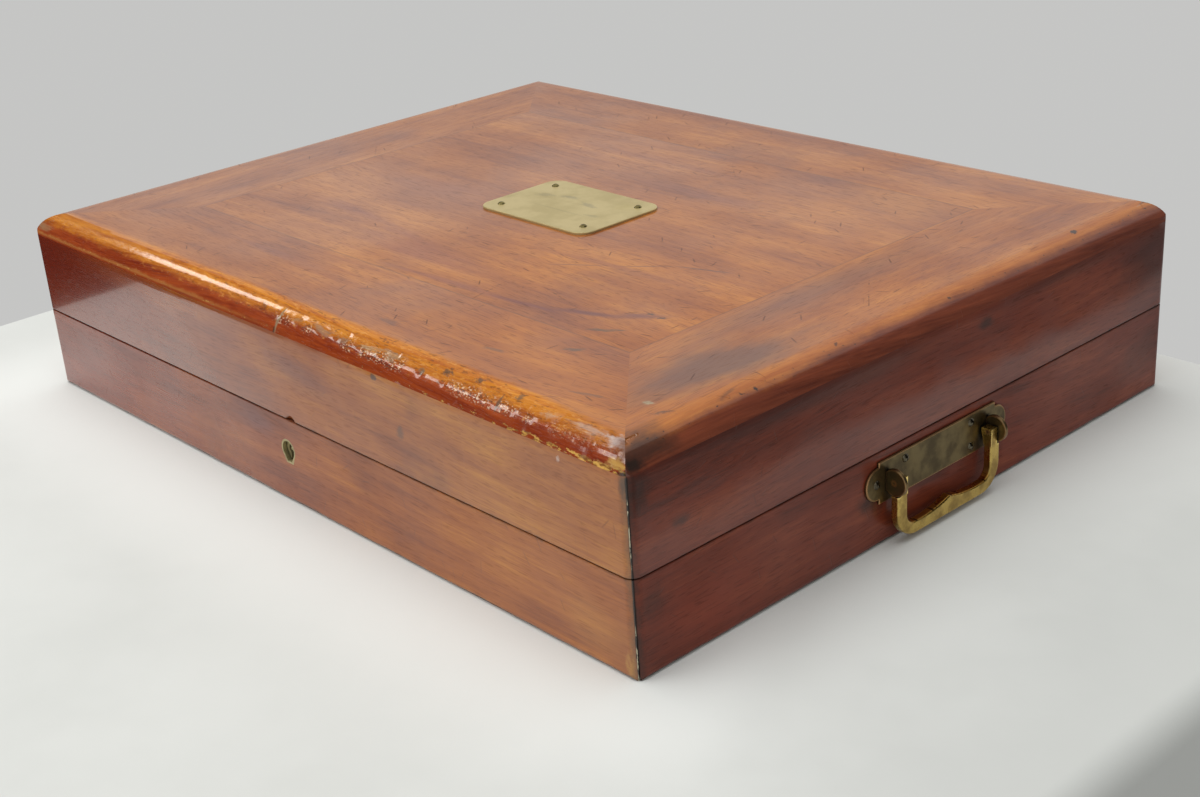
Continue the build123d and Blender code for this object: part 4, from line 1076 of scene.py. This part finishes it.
def makeFeltNap():
    # short matted wool: fine fibres, faint clouds and pressed places
    tree, given, out = openGroup(
        "feltNap", [("Vector", "Vector", None)], ["Fibre", "Cloud"])
    fibre = cloudy(given["Vector"], 1500.0, 3.0, 0.7, warp=1.5)
    feed(out["Fibre"], spread(fibre, 0.3, 0.7, kind="LINEAR"))
    feed(out["Cloud"], spread(cloudy(given["Vector"], 28.0, 4.0, 0.6), 0.3, 0.7))
    return tree


feltNap = makeFeltNap()


def feltMaterial(name, deep, bright):
    material, shader, place = newMaterial(name)
    nap = useGroup(feltNap, {"Vector": place})
    mixed = plus(times(nap["Cloud"], 0.55), nap["Fibre"], 0.45)
    feed(shader["Base Color"], tint(mixed, deep, bright))
    feed(shader["Roughness"], spread(nap["Cloud"], 0.0, 1.0, 0.86, 0.98, kind="LINEAR"))
    setTo(shader, {"Sheen Weight": 0.35, "Sheen Roughness": 0.45, "Sheen Tint": (0.55, 0.75, 0.62)})
    roughen(shader, nap["Fibre"], 0.6, 0.0003)
    return material


greenBaize = feltMaterial("green_baize_nap", (0.020, 0.075, 0.045), (0.050, 0.150, 0.092))


def clothPiece(name, bm, body, nodeName):
    return freshPiece(name, bm, greenBaize, body, nodeName)


# the cloth and the rooms it lines, in metres
lining = {
    "thickness": 0.0014,
    "roomHalfWidth": 0.280,
    "roomHalfDepth": 0.217,
    "floor": 0.0075,
    "baseRim": 0.0494,        # top of the cloth in the base
    "lidRim": 0.0620,         # foot of the cloth in the lid
    "lidTop": 0.1064,
    "lockHalfWidth": 0.0304,  # left bare for the lock
    "clear": 0.0003,
    "floorRipple": 0.00018,
    "wallRipple": 0.00015,
    "padRipple": 0.0002,
    "padFullness": 0.0004,
    "cuts": (60, 46),
}


def clothSlab(size, cuts, ripple, seed):
    # a thin slab of cloth, its upper side gently uneven and its rim rounded; size along X, Y and Z
    bm = standingBox(size)
    upper = [edge for edge in bm.edges if all(vertex.co.z > size[2] * 0.9 for vertex in edge.verts)]
    softened(bm, upper, size[2] * 0.45, 3)
    for axis in (0, 1):
        slicedAlong(bm, axis, size[axis] / cuts[axis], -size[axis] / 2, size[axis] / 2)
    offset = Vector((seed * 3.7, seed * 1.9, seed))
    for vertex in bm.verts:
        if vertex.co.z > size[2] * 0.9:
            vertex.co.z += ripple * (noise.noise(vertex.co * 32 + offset) - 0.6)
    return bm


def joined(parts):
    # one bmesh out of several
    whole = bmesh.new()
    for part in parts:
        mesh = bpy.data.meshes.new("part")
        part.to_mesh(mesh)
        part.free()
        whole.from_mesh(mesh)
        bpy.data.meshes.remove(mesh)
    return whole


def clothFloor():
    low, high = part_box("base_floor_lining")
    size = (high.x - low.x, high.y - low.y, lining["thickness"])
    bm = clothSlab(size, lining["cuts"], lining["floorRipple"], 1)
    moved(bm, (0, 0, low.z))
    piece = clothPiece("floor_cloth", bm, "case", "base_floor_lining")


def wallCloth(half, body, low, high, lockGap):
    # strips glued to the four walls of one half: front, back, and the two sides
    tall = high - low
    longSide = 2 * (lining["roomHalfWidth"] - lining["clear"])
    shortSide = 2 * (lining["roomHalfDepth"] - 0.0015 - lining["clear"])
    strips = [(longSide, lining["roomHalfDepth"], math.pi, lockGap),
              (longSide, lining["roomHalfDepth"], 0.0, 0.0),
              (shortSide, lining["roomHalfWidth"], quarter, 0.0),
              (shortSide, lining["roomHalfWidth"], -quarter, 0.0)]
    parts, area = [], 0.0
    for number, (length, away, turn, gap) in enumerate(strips):
        spans = [(-length / 2, -gap), (gap, length / 2)] if gap else [(-length / 2, length / 2)]
        for start, stop in spans:
            cuts = (max(int((stop - start) / 0.01), 2), 5)
            size = (stop - start, tall, lining["thickness"])
            strip = clothSlab(size, cuts, lining["wallRipple"], number + start)
            moved(strip, ((start + stop) / 2, 0, 0))
            # stand it up with its worked side towards the room
            stand = Matrix.Translation((0, away, (low + high) / 2)) @ Matrix.Rotation(quarter, 4, "X")
            bmesh.ops.transform(strip, matrix=Matrix.Rotation(turn, 4, "Z") @ stand, verts=strip.verts)
            parts.append(strip)
            area += (stop - start) * tall
    piece = clothPiece(half + "_wall_cloth", joined(parts), body, half + "_wall_lining")


clothFloor()
wallCloth("base", "case", lining["floor"], lining["baseRim"], lining["lockHalfWidth"])
wallCloth("lid", "lid", lining["lidRim"], lining["lidTop"], 0.0)


def lidPad():
    # thin wadding under cloth, a little fuller towards the middle
    low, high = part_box("lid_lining")
    size = (high.x - low.x, high.y - low.y, high.z - low.z - lining["padFullness"])
    bm = clothSlab(size, lining["cuts"], lining["padRipple"], 7)
    for vertex in bm.verts:
        if vertex.co.z > size[2] * 0.8:
            fall = (1 - (2 * vertex.co.x / size[0]) ** 8) * (1 - (2 * vertex.co.y / size[1]) ** 8)
            vertex.co.z += lining["padFullness"] * fall
    bmesh.ops.rotate(bm, matrix=Matrix.Rotation(math.pi, 3, "X"), verts=bm.verts)
    moved(bm, (0, 0, high.z))
    piece = clothPiece("lid_pad", bm, "lid", "lid_lining")


lidPad()

rack = {
    "pitch": 0.044,
    "slot": 0.014,
    "thickness": 0.010,
    "batten": 0.010,
    "block": 0.024,
    "round": 0.007,
    "halfLength": 0.2152,
    "rim": 0.0009,
    "unevenness": 0.00022,
}


def softBlock(width, height, thickness, rounding, seed):
    # a rounded block under tightly drawn cloth; stands on z 0, across X and Y
    bm = standingBox((thickness, width, height))
    if rounding:
        shoulders = [edge for edge in bm.edges
                     if all(vertex.co.z > height * 0.9 for vertex in edge.verts)
                     and abs(edge.verts[0].co.y - edge.verts[1].co.y) < 1e-6]
        softened(bm, shoulders, rounding, 7)
    rim = [edge for edge in bm.edges if len(edge.link_faces) == 2 and edge.calc_face_angle() > 0.6]
    softened(bm, rim, rack["rim"], 3)
    slicedAlong(bm, 2, 0.004, 0.0, height)
    slicedAlong(bm, 1, 0.005, -width / 2, width / 2)
    offset = Vector((seed, seed * 2.3, 0))
    for vertex in bm.verts:
        if abs(vertex.co.x) > thickness * 0.45:
            inward = Vector((-vertex.co.x, 0, 0)).normalized()
            vertex.co += inward * rack["unevenness"] * (noise.noise(vertex.co * 90 + offset) + 0.6)
    return bm


def clothRack(nodeName):
    low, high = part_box(nodeName)
    middle = (low.x + high.x) / 2
    count = int((2 * rack["halfLength"] - 0.030) // rack["pitch"])
    blockWidth = rack["pitch"] - rack["slot"]
    slotsHalf = (count * rack["pitch"] - blockWidth) / 2
    endWidth = rack["halfLength"] - slotsHalf
    places = [((number - count / 2) * rack["pitch"], blockWidth) for number in range(1, count)]
    places += [(side * (rack["halfLength"] - endWidth / 2), endWidth) for side in (-1, 1)]
    parts = [softBlock(2 * rack["halfLength"], rack["batten"], rack["thickness"], 0.0, 0.4)]
    for number, (along, width) in enumerate(places):
        block = softBlock(width, rack["block"], rack["thickness"], rack["round"], number + middle * 10)
        moved(block, (0, along, rack["batten"] + 0.0001))
        parts.append(block)
    whole = joined(parts)
    moved(whole, (middle, 0, lining["floor"]))
    piece = clothPiece(nodeName + "_cloth", whole, "case", nodeName)


for rackName in ("left_outer_rack", "left_inner_rack", "right_inner_rack", "right_outer_rack"):
    clothRack(rackName)


def clothPartition():
    low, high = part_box("centre_partition")
    bm = softBlock(high.y - low.y, high.z - low.z, high.x - low.x, 0.0, 5.5)
    moved(bm, (0, 0, low.z))
    piece = clothPiece("partition_cloth", bm, "case", "centre_partition")


clothPartition()
print("linings and racks covered")

# the bottom board is plain wood without varnish
bottomLook = {
    "dark": (0.16, 0.085, 0.04), "mid": (0.29, 0.17, 0.09), "light": (0.40, 0.26, 0.15),
    "coat": 0.0, "roughness": 0.62, "shift": (5.0, 1.0, 0.4), "blotch": 0.4,
}
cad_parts["base_bottom"].material_slots[0].material = mahogany("bottom_board_wood", bottomLook)

# table, light and camera
table = {
    "corners": [(-0.450, 0.285), (-0.450, -0.270), (-0.453, -0.400), (-0.430, -0.780), (0.495, -0.780),
                (0.495, 0.285)],
    "thickness": 0.16,
    "cornerRound": 0.04,
    "edge": 0.016,
    "tone": (0.614, 0.626, 0.602),
    "shade": (0.575, 0.587, 0.563),
    # clean is a painted light tone beside the chest, worn a painted shade to the right
    "clean": (0.755, 0.767, 0.742),
    "worn": (0.500, 0.510, 0.490),
}


def paleCloth():
    # painted light lifts the chest's shadow off the cloth beside its front and left, and painted shade
    # greys the cloth to the right, away from the window
    material, shader, place = newMaterial("pale_table")
    xyz = axes(place)
    cloud = spread(cloudy(place, 5.0, 4.0, 0.6), 0.35, 0.7)
    colour = tint(cloud, table["tone"], table["shade"])
    outX = calc("MAXIMUM", minus(calc("ABSOLUTE", xyz[0]), chest["halfWidth"]), 0.0)
    outY = calc("MAXIMUM", minus(calc("ABSOLUTE", xyz[1]), chest["halfDepth"]), 0.0)
    out = calc("SQRT", plus(times(outY, outY), outX, outX))
    beside = plus(xyz[0], xyz[1], 0.55)
    paintedLightBesideChest = times(fade(out, 0.0, 0.12), spread(beside, 0.205, 0.245, 0.95, 0.55))
    colour = wash(colour, table["clean"], paintedLightBesideChest)
    paintedShadeToRight = spread(plus(xyz[0], cloud, 0.03), 0.36, 0.47, 0.0, 0.6)
    feed(shader["Base Color"], wash(colour, table["worn"], paintedShadeToRight))
    setTo(shader, {"Roughness": 0.75, "Specular IOR Level": 0.2})
    roughen(shader, cloudy(place, 60.0, 3.0), 0.1, 0.002)
    return material


def makeTable():
    bm = bmesh.new()
    top = bm.faces.new([bm.verts.new((x, y, 0.0)) for x, y in table["corners"]])
    top.normal_update()
    if top.normal.z > 0:
        top.normal_flip()
    grown = bmesh.ops.extrude_face_region(bm, geom=[top])
    newVerts = [item for item in grown["geom"] if isinstance(item, bmesh.types.BMVert)]
    bmesh.ops.translate(bm, vec=(0, 0, -table["thickness"]), verts=newVerts)
    bmesh.ops.recalc_face_normals(bm, faces=bm.faces)
    upright = [edge for edge in bm.edges if abs(edge.verts[0].co.z - edge.verts[1].co.z) > 0.01]
    softened(bm, upright, table["cornerRound"], 6)
    upper = [edge for edge in bm.edges if all(vertex.co.z > -0.001 for vertex in edge.verts)]
    softened(bm, upper, table["edge"], 8)
    piece = pieceFrom("table", bm, paleCloth(), sharpFrom=40)
    evenShading(piece)


makeTable()

# where each lamp stands, seen from what it lights; the two windows show in the varnish
lamps = {
    "window": {"from": (-0.835, 0.018, 0.550), "lights": (-0.045, -0.22, 0.118), "away": 2.4,
               "size": (0.42, 0.30), "power": 1.9, "colour": (1, 0.94, 0.84), "inGloss": True},
    "second_window": {"from": (-0.750, -0.560, 0.580), "lights": (0.15, -0.2245, 0.115), "away": 2.4,
                      "size": (1.05, 0.22), "power": 3.0, "colour": (1, 0.95, 0.90), "inGloss": True},
    "overhead": {"from": (-0.12, -0.12, 1.0), "lights": (0, 0, 0.06), "away": 2.3,
                 "size": (2.6, 2.6), "power": 47.0, "colour": (1, 1, 1), "inGloss": False},
    "front_fill": {"from": (-0.55, -1.0, 0.45), "lights": (0, 0, 0.06), "away": 2.5,
                   "size": (1.6, 1.2), "power": 13.0, "colour": (1, 1, 1), "inGloss": False},
}


def softLamp(name, one):
    data = bpy.data.lights.new(name, "AREA")
    data.shape = "RECTANGLE"
    data.size, data.size_y = one["size"]
    data.energy = one["power"]
    data.color = one["colour"]
    lamp = bpy.data.objects.new(name, data)
    bpy.context.scene.collection.objects.link(lamp)
    target = Vector(one["lights"])
    lamp.location = target + Vector(one["from"]).normalized() * one["away"]
    lamp.rotation_euler = (target - lamp.location).to_track_quat("-Z", "Y").to_euler()
    lamp.visible_glossy = one["inGloss"]


for lampName, one in lamps.items():
    softLamp(lampName, one)

# dark cards that only the varnish and the metal see: centre, width, height, turn about Z, tilt
cards = {
    "floor_card": ((-1.70, -1.20, -0.22), 2.3, 2.2, 0.0, 0.0),
    "left_card": ((-3.0, -1.55, 0.50), 5.0, 6.0, quarter, quarter),
    "right_card": ((2.2, 1.85, 1.6), 4.3, 5.8, -quarter, quarter),
}


def cardBlack():
    material, shader = newMaterial("card_black")[:2]
    setTo(shader, {"Base Color": (0.012, 0.011, 0.010), "Roughness": 0.9, "Specular IOR Level": 0.0})
    return material


def darkCard(name, material, centre, width, height, turn, tilt):
    bm = bmesh.new()
    bmesh.ops.create_grid(bm, x_segments=1, y_segments=1, size=0.5)
    bmesh.ops.scale(bm, vec=(width, height, 1), verts=bm.verts)
    stand = Matrix.Rotation(turn, 3, "Z") @ Matrix.Rotation(tilt, 3, "X")
    bmesh.ops.rotate(bm, matrix=stand, verts=bm.verts)
    moved(bm, centre)
    card = pieceFrom(name, bm, material)
    for ray in ("camera", "diffuse", "transmission", "shadow"):
        setattr(card, "visible_" + ray, False)


blackCard = cardBlack()
for cardName, places in cards.items():
    darkCard(cardName, blackCard, *places)

roomLight = (0.560, 0.560, 0.552, 1)
world = bpy.data.worlds.new("studio")
world.use_nodes = True
background = world.node_tree.nodes["Background"]
background.inputs["Color"].default_value = roomLight
background.inputs["Strength"].default_value = 1.0
bpy.context.scene.world = world

lookFrom = {
    "place": (0.82329, -0.70602, 0.46309),
    "turn": (66.26739, 3.73949, 47.15966),
    "lens": 52.85,
    "sensor": 36.0,
}
camera = bpy.data.objects.new("camera", bpy.data.cameras.new("camera"))
bpy.context.scene.collection.objects.link(camera)
camera.location = lookFrom["place"]
camera.rotation_euler = [math.radians(angle) for angle in lookFrom["turn"]]
camera.data.lens = lookFrom["lens"]
camera.data.sensor_width = lookFrom["sensor"]
camera.data.sensor_fit = "HORIZONTAL"
camera.data.clip_start = 0.01
bpy.context.scene.camera = camera

bpy.context.scene.view_settings.view_transform = "Standard"
print("stage set")
